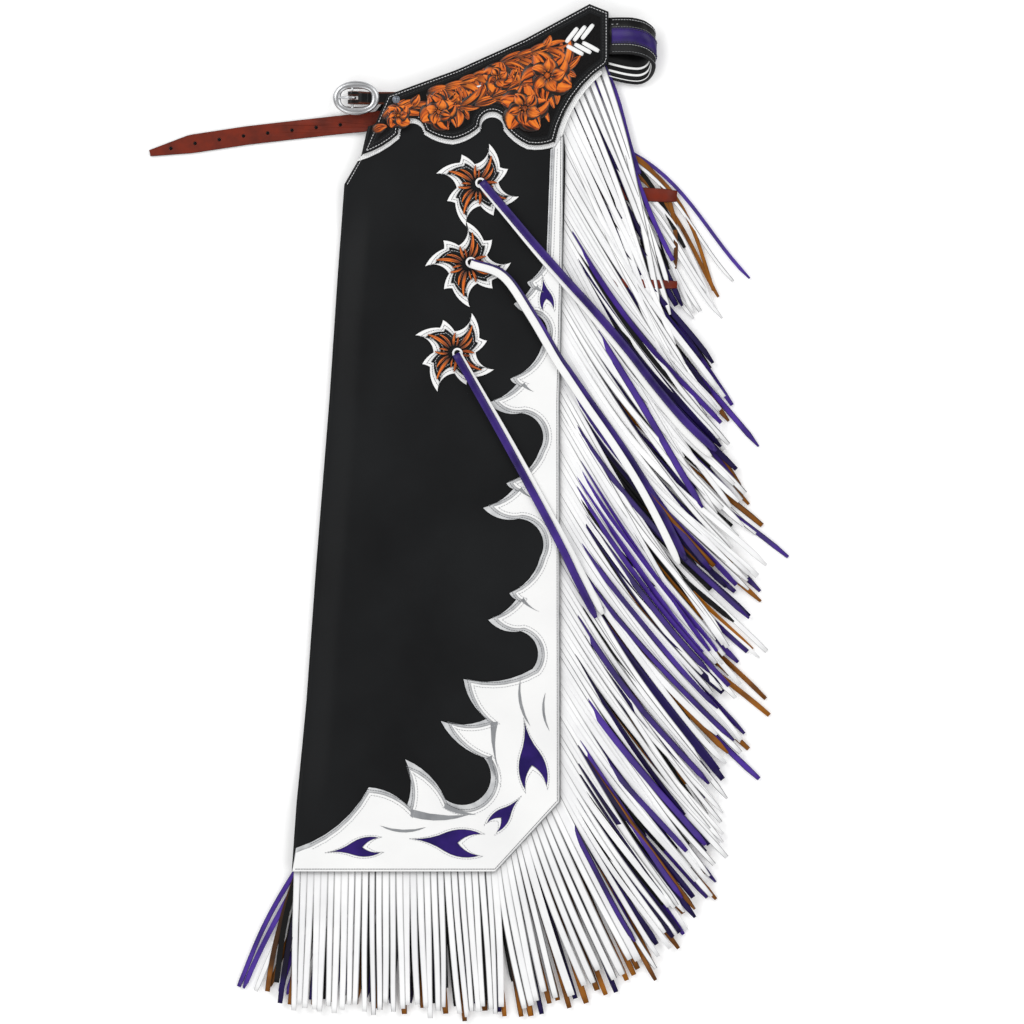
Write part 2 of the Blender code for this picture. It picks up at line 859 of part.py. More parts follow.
def edge_places():
    """The fringe edge as an array of points, and the distance along it of each."""
    points = np.array(FRINGE_EDGE, dtype=float)
    steps = np.linalg.norm(np.diff(points, axis=0), axis=1)
    return points, np.concatenate([[0], np.cumsum(steps)])


def edge_point(distance):
    points, along = edge_places()
    return np.array([np.interp(distance, along, points[:, k]) for k in (0, 1)])


def edge_inward(distance):
    """The direction in from the fringe edge, turned gently round its corners."""
    way = edge_point(distance + 6) - edge_point(distance - 6)
    way /= np.linalg.norm(way)
    return np.array([way[1], -way[0]])


def sunk(place):
    """How far what hangs past the fringe edge has sunk at a point; nothing on the near side."""
    points, _ = edge_places()
    best = math.inf
    for start, end in zip(points, points[1:]):
        way = end - start
        share = np.clip(np.dot(place - start, way) / np.dot(way, way), 0, 1)
        best = min(best, np.linalg.norm(place - start - share * way))
    near = wing_x(place[1]) > place[0] and place[1] > FRINGE_EDGE[-1][1]
    return 0.0 if near else EDGE_DROP * best


def strand_sides(distance, sections, pitch):
    """The two sides of a strand that hangs at that distance along the edge, from root to tip."""
    table = np.array(sections, dtype=float)
    leave, tip, length = (np.interp(distance, table[:, 0], table[:, k]) for k in (1, 2, 3))
    length *= 1 + RAGGED * (math.sin(0.21 * distance) + math.sin(0.57 * distance))
    steps = max(2, math.ceil(abs(tip - leave) / TURN_PER_STEP))
    inward = edge_inward(distance)
    # Strands that leave the edge at a slant have less room side by side.
    room = pitch * abs(np.dot(inward, [math.cos(math.radians(leave)), math.sin(math.radians(leave))]))
    width = min(FRINGE_WIDTH, STRAND_SHARE * room)
    place = edge_point(distance)
    left, right = [], []
    for step in range(steps + 1):
        angle = math.radians(leave + (tip - leave) * step / steps)
        way = np.array([math.cos(angle), math.sin(angle)])
        across = np.array([-way[1], way[0]]) * width / 2
        left.append(place - across)
        right.append(place + across)
        place = place + way * length / steps
    return left, right


def make_fringe(name, colour, bottom, sections, first, last, pitch):
    """One comb: a backing strip under the panel's edge, and the strands cut from it."""
    count = round((last - first) / pitch) + 1
    places = np.linspace(first, last, count)
    outer, inner = [], []
    half = min(FRINGE_WIDTH, 0.46 * pitch)
    for end in (first - half, last + half):
        inner.append(edge_point(end) + edge_inward(end) * (CUT_DEPTH + BACKING_WIDTH))
    outer.append(edge_point(first - half) + edge_inward(first - half) * CUT_DEPTH)
    # Each strand is followed by the cut beside it, which runs in under the edge.
    cuts = [*(places[:-1] + places[1:]) / 2, last + half]
    for distance, beside_it in zip(places, cuts):
        left, right = strand_sides(distance, sections, pitch)
        outer += right + left[::-1]
        outer.append(edge_point(beside_it) + edge_inward(beside_it) * CUT_DEPTH)
    middle = [edge_point(d) + edge_inward(d) * (CUT_DEPTH + BACKING_WIDTH) for d in places[1:-1:3]]
    loop = outer + [inner[1]] + middle[::-1] + [inner[0]]
    mesh = flat_mesh([loop], bottom, FRINGE_LEATHER)
    for vertex in mesh.vertices:
        vertex.co.z -= sunk(np.array(vertex.co[:2]) / MM) * MM
    add_object(name, mesh, colour, PARTS)


# ---- belt, billet and leg straps ----


def make_belt():
    path = smooth_line(BELT_PATH, 3)
    along = np.tile([0.0, 1.0, 0.0], (len(path), 1))
    mesh = strap_mesh(path, np.full(len(path), BELT_WIDTH), BELT_LEATHER, along)
    add_object("back_belt", mesh, "black", PARTS)
    shown = slice(*STRIPE_STATIONS)
    ways = np.gradient(path, axis=0)[shown]
    out = np.stack([-ways[:, 2], np.zeros(len(ways)), ways[:, 0]], axis=1)
    out /= np.linalg.norm(out, axis=1)[:, None]
    raised = path[shown] + out * (BELT_LEATHER / 2 + GAP + STRIPE_LEATHER / 2)
    widths = np.full(len(raised), STRIPE_WIDTH)
    mesh = strap_mesh(raised, widths, STRIPE_LEATHER, along[shown])
    add_object("belt_stripe", mesh, "purple", PARTS)


def make_billet():
    rows = np.array(BILLET_PATH, dtype=float)
    path = rows[:, :3] + [0, 0, BILLET_LEATHER / 2]
    mesh = strap_mesh(path, rows[:, 3] * BILLET_WIDTH, BILLET_LEATHER, level_across(path))
    item = add_object("billet", mesh, "strap", PARTS)
    shape = bmesh.new()
    for number in range(BILLET_HOLES):
        x = FIRST_HOLE_X - number * HOLE_PITCH
        y = np.interp(x, rows[::-1, 0], rows[::-1, 1])
        made = bmesh.ops.create_cone(
            shape,
            cap_ends=True,
            segments=8,
            radius1=HOLE_DIAMETER / 2 * MM,
            radius2=HOLE_DIAMETER / 2 * MM,
            depth=20 * MM,
        )
        bmesh.ops.translate(shape, verts=made["verts"], vec=(x * MM, y * MM, 0))
    holes = bpy.data.meshes.new("holes")
    shape.to_mesh(holes)
    shape.free()
    cut(item, [holes])


def make_leg_straps():
    for name, y, far_x, far_y, width in LEG_STRAPS:
        z = BROWN_Z + STRAP_LEATHER / 2
        path = [(LEG_STRAP_INNER_END, y + 2, z), (wing_x(y), y, z), (far_x, far_y, z)]
        path = smooth_line(path, 3)
        path[:, 2] -= [sunk(place) for place in path[:, :2]]
        widths = np.full(len(path), width)
        mesh = strap_mesh(path, widths, STRAP_LEATHER, level_across(path))
        add_object(name, mesh, "strap", PARTS)


# ---- buckle ----


def window_loop(low_share, high_share):
    """Part of the frame's squarish oval window, between two shares of its half length."""
    x, y = BUCKLE_CENTRE
    half_length = FRAME_LENGTH / 2 - RIM
    half_width = FRAME_WIDTH / 2 - RIM
    turns = np.linspace(math.asin(low_share), math.asin(high_share), 9)
    shares = np.clip(np.sin(turns), -0.999, 0.999)
    heights = half_width * (1 - np.abs(shares) ** WINDOW_POWER) ** (1 / WINDOW_POWER)
    places = x + shares * half_length
    above = list(zip(places, y + heights))
    below = list(zip(places, y - heights))
    return above + below[::-1]


def make_buckle_frame():
    half_length = FRAME_LENGTH / 2 - RIM
    bar = [(BAR_X + side * BAR_WIDTH / 2 - BUCKLE_CENTRE[0]) / half_length for side in (-1, 1)]
    rim = ellipse(*BUCKLE_CENTRE, FRAME_LENGTH, FRAME_WIDTH, 28)
    loops = [rim, window_loop(-1, bar[0]), window_loop(bar[1], 1)]
    flat_piece("buckle_frame", loops, FRAME_Z, FRAME_THICKNESS, "chrome")


def make_prong():
    """An eye round the bar with a tapered tongue that rests on the rim; its origin is the axis."""
    y = BUCKLE_CENTRE[1]
    outer = PRONG_EYE + PRONG_THICKNESS
    tongue_top = BAR_Z + outer
    tongue_bottom = FRAME_Z + FRAME_THICKNESS + GAP
    ring = [(BAR_X + outer * math.cos(a), BAR_Z + outer * math.sin(a)) for a in prong_turns()]
    tip = [
        (PRONG_TIP_X, tongue_bottom + 0.7),
        (PRONG_TIP_X, tongue_bottom),
        (BAR_X - outer * 0.9, tongue_bottom),
    ]
    side = ring + [(BAR_X, tongue_top)] + tip
    hole = circle(BAR_X, BAR_Z, PRONG_EYE, 12)
    mesh = flat_mesh([side, hole], 0.0, PRONG_WIDTH)
    # The side view stands up: its second axis becomes height, and its thickness runs along Y.
    for vertex in mesh.vertices:
        flat_x, flat_y, depth = vertex.co
        vertex.co = (flat_x - BAR_X * MM, PRONG_WIDTH / 2 * MM - depth, flat_y - BAR_Z * MM)
    item = add_object("buckle_prong", mesh, "chrome", PARTS)
    item.location = (BAR_X * MM, y * MM, BAR_Z * MM)


def prong_turns():
    """Angles round the eye, from under the tongue the long way to its top."""
    return np.linspace(-math.radians(150), math.radians(84), 12)


def make_tab():
    """The strap that comes out under the yoke, passes over the bar and is turned back beneath."""
    y = BUCKLE_CENTRE[1]
    clear = TAB_LEATHER / 2 + GAP
    low = TAB_Z + TAB_LEATHER / 2
    over = FRAME_Z + FRAME_THICKNESS + clear
    past = BAR_X - BAR_WIDTH / 2 - clear
    beneath = TAB_Z - clear
    path = (
        # x, z
        (-60, low),
        (-84, low),
        (-97, low - 0.1),
        (-101, low + 2.0),
        (-105, over - 1.2),
        (-109, over + 0.1),
        (BAR_X, over + 0.5),
        (past - 0.4, over - 1.0),
        (past - 0.2, FRAME_Z),
        (BAR_X - 1.4, FRAME_Z - clear - 0.7),
        (-109, beneath + 0.4),
        (-102, beneath),
        (-87, beneath),
    )
    places = [(x, y, z) for x, z in path]
    along = np.tile([0.0, 1.0, 0.0], (len(places), 1))
    mesh = strap_mesh(places, np.full(len(places), TAB_WIDTH), TAB_LEATHER, along)
    item = add_object("buckle_tab", mesh, "black", PARTS)
    slot = PRONG_WIDTH / 2 + 0.7
    middle = BUCKLE_CENTRE[1]
    low_corner = (BAR_X - 14, middle - slot, TAB_Z - 3.4)
    high_corner = (BAR_X + SLOT_REACH, middle + slot, BAR_Z + 14)
    cut(item, [box_mesh(low_corner, high_corner)])


def make_rivet():
    x, y = RIVET
    low = TAB_Z + TAB_LEATHER + GAP
    seat = YOKE_TOP + GAP
    profile = (
        # radius, height
        (0.0, seat + 2.0),
        (RIVET_RADIUS * 0.5, seat + 1.8),
        (RIVET_RADIUS * 0.85, seat + 1.2),
        (RIVET_RADIUS, seat),
        (SHANK_RADIUS, seat),
        (SHANK_RADIUS, low),
        (0.0, low),
    )
    shape = bmesh.new()
    points = [shape.verts.new((radius * MM, 0.0, height * MM)) for radius, height in profile]
    for upper, lower in zip(points, points[1:]):
        shape.edges.new((upper, lower))
    mesh = bpy.data.meshes.new("rivet")
    shape.to_mesh(mesh)
    shape.free()
    item = add_object("buckle_rivet", mesh, "chrome", PARTS)
    item.location = (x * MM, y * MM, 0.0)
    turned = item.modifiers.new("turned", "SCREW")
    turned.steps = 14
    turned.render_steps = 14
    turned.use_merge_vertices = True
    turned.merge_threshold = 0.0001


clear_scene()
MATERIALS = {name: make_material(name) for name in COLOURS}
PARTS = new_collection(OBJECT_NAME)
CUTTERS = new_collection("cutters")
make_legs()
make_border()
make_yoke()
make_lacing()
make_rosettes()
make_strings()
for fringe in FRINGES:
    make_fringe(*fringe)
make_belt()
make_billet()
make_leg_straps()
make_buckle_frame()
make_prong()
make_tab()
make_rivet()
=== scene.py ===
# Fringed western riding chaps, folded in half at the back belt and laid flat, one leg on top.
# Tables are in millimetres: X to the wing side, Y to the waist, Z up from the table.
import math

import bpy
import numpy as np
from mathutils.geometry import tessellate_polygon
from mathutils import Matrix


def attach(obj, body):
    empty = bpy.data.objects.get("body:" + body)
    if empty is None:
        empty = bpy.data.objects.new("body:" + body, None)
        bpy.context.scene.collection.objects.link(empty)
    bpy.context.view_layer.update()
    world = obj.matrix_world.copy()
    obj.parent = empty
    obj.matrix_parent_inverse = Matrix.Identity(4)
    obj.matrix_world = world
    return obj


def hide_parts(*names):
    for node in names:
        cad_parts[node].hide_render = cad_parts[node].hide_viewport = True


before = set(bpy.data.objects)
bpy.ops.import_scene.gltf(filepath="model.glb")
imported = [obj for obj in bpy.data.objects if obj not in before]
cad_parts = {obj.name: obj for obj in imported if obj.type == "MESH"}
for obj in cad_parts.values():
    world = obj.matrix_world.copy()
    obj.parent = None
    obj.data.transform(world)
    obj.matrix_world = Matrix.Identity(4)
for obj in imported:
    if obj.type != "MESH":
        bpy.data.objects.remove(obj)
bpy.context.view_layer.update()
mm = 0.001
gap = 0.3  # between pieces that touch

# heights of the layers' undersides, each on the one beneath
layers = {
    "underFringe": 2.8,
    "brown": 4.3,
    "purple": 6.4,
    "white": 7.9,
    "leg": 9.4,
    "overLeg": 12.2,
    "borderTop": 13.5,
    "yoke": 14.0,
    "overYoke": 17.3,
}

# camera

view = {"place": (0.053, -0.002, 4.03), "lens": 135, "sensor": 36}
camera = bpy.data.objects.new("camera", bpy.data.cameras.new("camera"))
camera.data.lens = view["lens"]
camera.data.sensor_width = view["sensor"]
camera.location = view["place"]
bpy.context.scene.collection.objects.link(camera)
bpy.context.scene.camera = camera
print("camera set")

# lines and outlines


# A Catmull-Rom line through the points: each span is a cubic in t of its four neighbours.
def smoothLine(points, steps):
    rows = np.array(points, float)
    ends = np.vstack([2 * rows[0] - rows[1], rows, 2 * rows[-1] - rows[-2]])
    before, start, end, after = (ends[k : len(rows) - 1 + k, None] for k in range(4))
    t = (np.arange(steps) / steps)[None, :, None]
    spans = 0.5 * (
        2 * start
        + (end - before) * t
        + (2 * before - 5 * start + 4 * end - after) * t**2
        + (3 * start - before - 3 * end + after) * t**3
    )
    return np.vstack([spans.reshape(-1, rows.shape[1]), rows[-1]])


# Points of an arc whose height is bulge times half its chord, without the last one.
def arcPoints(start, end, bulge, step=9):
    start, end = np.array(start[:2], float), np.array(end[:2], float)
    if abs(bulge) < 0.01:
        return start[None]
    chord = end - start
    turn = 4 * math.atan(bulge)
    across = np.array([chord[1], -chord[0]]) / 2
    centre = start + chord / 2 - across / math.tan(turn / 2)
    count = max(3, math.ceil(abs(math.degrees(turn)) / step))
    angles = turn * np.arange(count) / count
    arm = start - centre
    side = np.array([-arm[1], arm[0]])
    return centre + np.outer(np.cos(angles), arm) + np.outer(np.sin(angles), side)


# Rows of x, y and the bulge of the arc to the next row, as one closed loop of points.
def outline(rows):
    return np.vstack([arcPoints(a, b, a[2]) for a, b in zip(rows, [*rows[1:], rows[0]])])


# The rows with each corner moved out along its bisector; the bulges stay.
def movedOut(rows, margin):
    corners = np.array([row[:2] for row in rows], float)
    moved = offsetLoop(corners, -margin, 0.75)
    return [(*place, row[2]) for place, row in zip(moved, rows)]


# Each way at a length of one.
def unit(ways):
    return ways / np.linalg.norm(ways, axis=-1, keepdims=True)


# A closed loop with each point moved to the left of the way round, along its bisector.
def offsetLoop(loop, distance, least=0.9):
    ways = unit(np.roll(loop, -1, axis=0) - loop)
    left = np.stack([-ways[:, 1], ways[:, 0]], axis=1)
    bisector = left + np.roll(left, 1, axis=0)
    size = np.maximum(np.linalg.norm(bisector, axis=1), least)[:, None]
    return loop + bisector / size**2 * 2 * distance


def loopArea(loop):
    following = np.roll(loop, -1, axis=0)
    return float((loop[:, 0] * following[:, 1] - following[:, 0] * loop[:, 1]).sum() / 2)


# The distance along a line at each of its points.
def distances(line):
    return np.concatenate([[0], np.cumsum(np.linalg.norm(np.diff(line, axis=0), axis=1))])


# Points every pitch or so along a line, evenly, and the unit way there.
def resample(line, pitch, closed=False):
    line = np.asarray(line, float)
    if closed:
        line = np.vstack([line, line[:1]])
    along = distances(line)
    count = max(1, round(along[-1] / pitch))
    stations = (np.arange(count) + 0.5) * along[-1] / count
    nearby = 0.2
    places, before, after = (
        np.stack([np.interp(stations + shift, along, column) for column in line.T], axis=1)
        for shift in (0, -nearby, nearby)
    )
    return places, unit(after - before)


# From 0 to 1 with a soft start and end.
def ease(value):
    value = np.clip(value, 0, 1)
    return value * value * (3 - 2 * value)


# Eases in from start over the span rise, and out to end over the span fall.
def within(value, start, rise, end, fall):
    return ease((value - start) / rise) * ease((end - value) / fall)


# A flat line lifted to that height.
def withHeight(line, z):
    return np.column_stack([line, np.full(len(line), float(z))])


# Directions level with the table and square to each path.
def levelAcross(paths):
    along = np.gradient(paths, axis=-2)
    return unit(np.stack([-along[..., 1], along[..., 0], np.zeros_like(along[..., 0])], axis=-1))


# Level directions tilted up by that angle.
def tilted(across, angle):
    return across * np.cos(angle) + np.array([0, 0, 1.0]) * np.sin(angle)


# The places on each course, which starts at x, y and takes one stride at each angle.
def walked(x, y, angles, stride):
    return [
        start[:, None] + np.cumsum(way * stride, axis=1) - way[:, :1] * stride
        for start, way in ((x, np.cos(angles)), (y, np.sin(angles)))
    ]


# materials


# An sRGB hex value as a linear colour.
def linearColour(code):
    channels = np.array([int(code[i : i + 2], 16) for i in (0, 2, 4)]) / 255
    linear = np.where(channels <= 0.04045, channels / 12.92, ((channels + 0.055) / 1.055) ** 2.4)
    return (*linear.tolist(), 1.0)


# Sets a node's sockets and properties. A value that is itself a socket is linked.
def setNode(tree, node, settings):
    for key, value in settings.items():
        if isinstance(value, bpy.types.NodeSocket):
            tree.links.new(value, node.inputs[key])
        elif isinstance(key, int) or key in node.inputs:
            node.inputs[key].default_value = value
        else:
            setattr(node, key, value)


# That output of a new node.
def addNode(tree, kind, output, settings):
    node = tree.nodes.new("ShaderNode" + kind)
    setNode(tree, node, settings)
    return node.outputs[output]


# A material whose shader has the settings that the look's function gives for its tree.
def newMaterial(look, name, *values):
    material = bpy.data.materials.new(name)
    material.use_nodes = True
    tree = material.node_tree
    setNode(tree, tree.nodes["Principled BSDF"], look(tree, *values))
    return material


def objectPlace(tree):
    return addNode(tree, "TexCoord", "Object", {})


def attribute(tree, name):
    return addNode(tree, "Attribute", "Fac", {"attribute_name": name})


def noise(tree, place, scale, detail):
    return addNode(tree, "TexNoise", "Fac", {"Scale": scale, "Detail": detail, "Vector": place})


def cells(tree, place, size, feature="F1"):
    settings = {"feature": feature, "Scale": 1 / (size * mm), "Vector": place}
    return addNode(tree, "TexVoronoi", "Distance", settings)


def reckoned(tree, operation, *values):
    return addNode(tree, "Math", 0, {"operation": operation, **dict(enumerate(values))})


# A value taken from low..high to start..end, and held there.
def mapped(tree, source, low, high, start=0.0, end=1.0):
    return addNode(tree, "MapRange", 0, {0: source, 1: low, 2: high, 3: start, 4: end})


def bumped(tree, height, strength, depth):
    settings = {"Strength": strength, "Distance": depth * mm, "Height": height}
    return addNode(tree, "Bump", "Normal", settings)


# The colour that share, 0 to 1, takes between two colours or colour sockets.
def mixColours(tree, share, *pair):
    first, second = (linearColour(item) if isinstance(item, str) else item for item in pair)
    return addNode(tree, "Mix", 2, {"data_type": "RGBA", 0: share, 6: first, 7: second})


# Tanned cowhide. Grain cells are Voronoi cells of that size, and a soft cloud shifts the
# colour from main to second; the edge attribute paints cut edges, and on the fringe also
# painted shade between and beneath the strands; shade tells strands apart.
def leather(tree, main, second, edge, rough, grain, depth, cloud, gloss):
    place = objectPlace(tree)
    clouds = noise(tree, place, 1 / (cloud * mm), 4.0)
    pores = noise(tree, place, 2.2 / (grain * mm), 3.0)
    ridge = reckoned(tree, "MINIMUM", cells(tree, place, grain, "DISTANCE_TO_EDGE"), 0.22)
    shift = reckoned(tree, "ADD", mapped(tree, clouds, 0.35, 0.7), attribute(tree, "shade"))
    tone = mixColours(tree, mapped(tree, shift, 0, 1.4), main, second)
    return {
        "Base Color": mixColours(tree, attribute(tree, "edge"), tone, edge),
        "Roughness": mapped(tree, clouds, 0.3, 0.7, rough - 0.07, rough + 0.07),
        "Normal": bumped(tree, reckoned(tree, "MULTIPLY_ADD", pores, 0.35, ridge), 0.7, depth),
        "IOR": 1.5,
        "Specular IOR Level": gloss,
        "Metallic": 0.25 * (gloss > 0.4),  # foil
    }


# Vegetable-tanned leather, carved, dyed and resist-finished: dye gathers in the cuts and at
# the foot of each petal, and fine knife strokes run along it.
def tooledLeather(tree, bright, middle, dark):
    along, across, shade = (attribute(tree, key) for key in ("along", "across", "shade"))
    spot = addNode(tree, "CombineXYZ", 0, {0: across, 1: along, 2: shade})
    stretched = addNode(tree, "Mapping", 0, {"Scale": (7, 0.9, 40), "Vector": spot})
    strokes = noise(tree, stretched, 1.0, 2.0)
    rim = mapped(tree, reckoned(tree, "ABSOLUTE", across), 0.25, 0.37)
    foot = mapped(tree, along, 0.06, 0.50, 1.0, 0.0)
    light = mixColours(tree, mapped(tree, strokes, 0.45, 0.62), middle, bright)
    lined = mixColours(tree, mapped(tree, strokes, 0.39, 0.48, 1.0, 0.0), light, dark)
    return {
        "Base Color": mixColours(tree, rim, mixColours(tree, foot, lined, dark), dark),
        "Roughness": 0.36,
        "Normal": bumped(tree, strokes, 0.8, 0.5),
        "Specular IOR Level": 0.4,
    }


# Black ground beaten down with a beading tool: round pits two millimetres apart.
def stippledLeather(tree, main, lift):
    pits = cells(tree, objectPlace(tree), 2.0)
    return {
        "Base Color": mixColours(tree, mapped(tree, pits, 0.1, 0.6), main, lift),
        "Roughness": 0.5,
        "Normal": bumped(tree, pits, 0.6, 0.3),
        "Specular IOR Level": 0.12,
    }


# Cast nickel silver, buffed: faint wipe marks in the gloss.
def polishedMetal(tree, code, rough, scratch):
    spread = (1 / (14 * mm), 1 / (scratch * mm), 1)
    pulled = addNode(tree, "Mapping", 0, {"Scale": spread, "Vector": objectPlace(tree)})
    return {
        "Base Color": linearColour(code),
        "Metallic": 1.0,
        "Roughness": mapped(tree, noise(tree, pulled, 1.0, 4.0), 0.3, 0.7, rough, rough + 0.14),
    }


# Bonded polyester thread: three twisted plies shade it in slanted bands.
def sewingThread(tree, code, shadow):
    bands = {"bands_direction": "DIAGONAL", "Scale": 0.3 / (0.9 * mm), "Vector": objectPlace(tree)}
    plies = addNode(tree, "TexWave", "Fac", bands)
    return {
        "Base Color": mixColours(tree, mapped(tree, plies, 0, 1, 0, 0.4), code, shadow),
        "Roughness": 0.55,
        "Sheen Weight": 0.2,
    }


# Real grain is too fine to show at this distance, so its cells are drawn larger.
leathers = {
    # name, main, second, cut edge, roughness, grain mm, grain depth mm, cloud mm, gloss
    "black": ("drumDyedChap", "08090b", "121416", "050505", 0.50, 2.2, 0.10, 120, 0.2),
    "blackStrap": ("blackBridle", "070708", "0f0f10", "1a1a1b", 0.36, 1.6, 0.06, 60, 0.25),
    "blackTab": ("blackTab", "070708", "0f0f10", "5a2813", 0.36, 1.6, 0.06, 60, 0.25),
    # Black strands and discs stand in for shade: painted shade in the gaps between fringe strands
    # and in holes.
    "blackStrand": ("blackFringe", "060607", "0e0e10", "020202", 0.50, 2.4, 0.06, 45, 0.2),
    "white": ("whiteTopcoated", "f5f5f4", "e9e9e9", "8d8d90", 0.50, 2.4, 0.07, 90, 0.3),
    # The white strands' near-black cut-edge colour is painted shade between neighbouring strands.
    "whiteFringe": ("whiteFringe", "fdfdfd", "ececed", "1a1a1e", 0.55, 3.0, 0.06, 45, 0.3),
    "purple": ("purpleDyed", "1a0a4a", "492a94", "0a0322", 0.42, 2.2, 0.08, 40, 0.3),
    # A darker copy of the purple: painted shade on the purple strands that lie beneath.
    "deepPurple": ("deepPurpleFringe", "0b0324", "1d0d52", "050112", 0.46, 2.2, 0.08, 40, 0.2),
    "inlay": ("purpleInlay", "1a0a50", "331578", "0b0426", 0.42, 2.2, 0.08, 22, 0.25),
    "brown": ("tanLatigo", "a8650c", "552f08", "1c0c02", 0.50, 2.4, 0.10, 40, 0.25),
    # The russet's dark cut edge is partly its own dye and partly a painted shadow line along the
    # straps' edges.
    "strap": ("oiledRusset", "74240f", "4a1406", "120402", 0.46, 1.8, 0.10, 14, 0.25),
    "silver": ("silverFoil", "e0e1e2", "a2a4a7", "5f6164", 0.38, 1.6, 0.10, 11, 0.5),
    "greySilver": ("darkFoil", "9c9ea1", "77797c", "4a4b4d", 0.36, 1.6, 0.10, 14, 0.5),
}
finishes = {
    key: newMaterial(leather, name + "Leather", *values)
    for key, (name, *values) in leathers.items()
}
for key, look, name, *values in (
    ("ground", stippledLeather, "beadedBlackGround", "040405", "0f0e0e"),
    ("tooled", tooledLeather, "carvedDyedLeather", "ec7f22", "c4520f", "150501"),
    ("metal", polishedMetal, "buffedNickelSilver", "c6c7c9", 0.26, 0.8),
    ("rivetMetal", polishedMetal, "antiquedNickel", "777d86", 0.30, 0.8),
    ("whiteThread", sewingThread, "whitePolyesterThread", "ececed", "a4a4a7"),
    ("greyThread", sewingThread, "greyPolyesterThread", "77787b", "414244"),
    ("paleThread", sewingThread, "silverPolyesterThread", "b9babc", "8a8b8d"),
    ("blackThread", sewingThread, "blackPolyesterThread", "141415", "050505"),
):
    finishes[key] = newMaterial(look, name, *values)
print("finishes made")

# mesh builders


# The piece's name in capitals and small letters, from its node's.
def pieceName(node):
    return "".join(part.title() for part in node.split("_"))


# A mesh from points in millimetres, with its finishes in turn. The last flat faces are
# shaded flat.
def addPiece(
    name, points, faces, finish, replaces=(), values=None, flat=0, body="garment", slot=None
):
    faces = faces.tolist() if isinstance(faces, np.ndarray) else faces
    finish = finish if isinstance(finish, list) else [finish]
    mesh = bpy.data.meshes.new(name)
    mesh.from_pydata((np.asarray(points, float).reshape(-1, 3) * mm).tolist(), [], faces)
    mesh.polygons.foreach_set("use_smooth", np.arange(len(faces)) < len(faces) - flat)
    for key, value in (values or {}).items():
        held = mesh.attributes.new(key, "FLOAT", "POINT")
        held.data.foreach_set("value", np.asarray(value, np.float32).ravel())
    piece = bpy.data.objects.new(name, mesh)
    bpy.context.scene.collection.objects.link(piece)
    for item in finish:
        mesh.materials.append(finishes[item])
    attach(piece, body)
    if replaces:
        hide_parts(*replaces)
    return piece


# The section of a flat strip with its corners cut: the points of its lower side, and the same
# turned round by half.
def flatSection(low, *shares):
    lower = [(-0.5, -low), *[(share, -0.5) for share in shares]]
    lower += [(0.5, -low)] * (low > 0)
    return lower + [(-x, -y) for x, y in lower]


# Profiles are counter-clockwise, as shares of the width to the side and of the thickness up.
domeFoot = [(-0.5, 0), (-0.17, 0), (0.17, 0), (0.5, 0)]
profiles = {
    "strap": flatSection(0.2, -0.44, 0.44),
    "belt": flatSection(0.22, -0.485, 0.485),
    "edged": flatSection(0.2, -0.46, -0.32, 0.32, 0.46),
    "thread": flatSection(0, -0.25, 0.25),
    "dome": [*domeFoot, (0.40, 0.55), (0.16, 0.95), (-0.16, 0.95), (-0.40, 0.55)],
    "petal": [
        *domeFoot, (0.42, 0.62), (0.16, 0.86), (0.0, 0.62), (-0.16, 0.86), (-0.42, 0.62),
        (-0.5, 0.1),
    ],
    "round": [
        (0.5 * math.cos(a), 0.5 * math.sin(a)) for a in np.radians(np.arange(202.5, 562, 45))
    ],
}


# Four-sided faces between neighbouring rings of point numbers.
def wallFaces(index):
    turned = np.roll(index, -1, axis=-1)
    corners = [index[..., :-1, :], turned[..., :-1, :], turned[..., 1:, :], index[..., 1:, :]]
    return np.stack(corners, axis=-1).reshape(-1, 4)


# A profile carried along many paths at once: each point of a path, plus across times the
# profile's width share, plus the path's own up times its thickness share. Both ends are closed.
def sweep(paths, widths, thicknesses, profile, across=None):
    paths = np.asarray(paths, float)
    if paths.ndim == 2:
        paths = paths[None]
    shape = np.array(profiles[profile])
    across = np.broadcast_to(levelAcross(paths) if across is None else across, paths.shape)
    up = unit(np.cross(np.gradient(paths, axis=1), across))
    widths, thicknesses = (
        np.broadcast_to(size, paths.shape[:2])[:, :, None, None] for size in (widths, thicknesses)
    )
    points = (
        paths[:, :, None]
        + across[:, :, None] * shape[:, :1] * widths
        + up[:, :, None] * shape[:, 1:] * thicknesses
    )
    index = np.arange(points[..., 0].size).reshape(points.shape[:3])
    steps, sides = index.shape[1:]
    pairs = np.array([(k, k + 1, sides - 2 - k, sides - 1 - k) for k in range(sides // 2 - 1)])
    caps = (index[:, -1][:, pairs], index[:, 0][:, pairs[:, ::-1]])
    faces = np.vstack([wallFaces(index), *(cap.reshape(-1, 4) for cap in caps)])
    shares = {
        "along": np.broadcast_to(np.linspace(0, 1, steps)[None, :, None], index.shape),
        "across": np.broadcast_to(shape[:, 0], index.shape),
    }
    return points, faces, shares


# A piece swept to that width and thickness, with its sides painted as cut edges.
def sweepPiece(
    name, path, size, profile, finish, replaces=(), across=None, body="garment", worn=0.7
):
    points, faces, shares = sweep(path, *size, profile, across)
    values = {"edge": (np.abs(shares["across"]) > 0.49) * worn}
    return addPiece(name, points, faces, finish, replaces, values, 0, body)


# Several swept groups as one set of points, faces and shares, with a shade for each member.
def joined(parts):
    points, faces, values = [], [], {"along": [], "across": [], "shade": []}
    base = 0
    for number, (group, walls, shares) in enumerate(parts):
        points.append(group.reshape(-1, 3))
        faces.append(walls + base)
        base += len(points[-1])
        tell = (np.arange(len(group)) * 0.37 + number * 0.23) % 1
        shade = np.broadcast_to(tell[:, None, None], group.shape[:3])
        for key, value in {**shares, "shade": shade}.items():
            values[key].append(value.ravel())
    return np.vstack(points), np.vstack(faces), {k: np.concatenate(v) for k, v in values.items()}


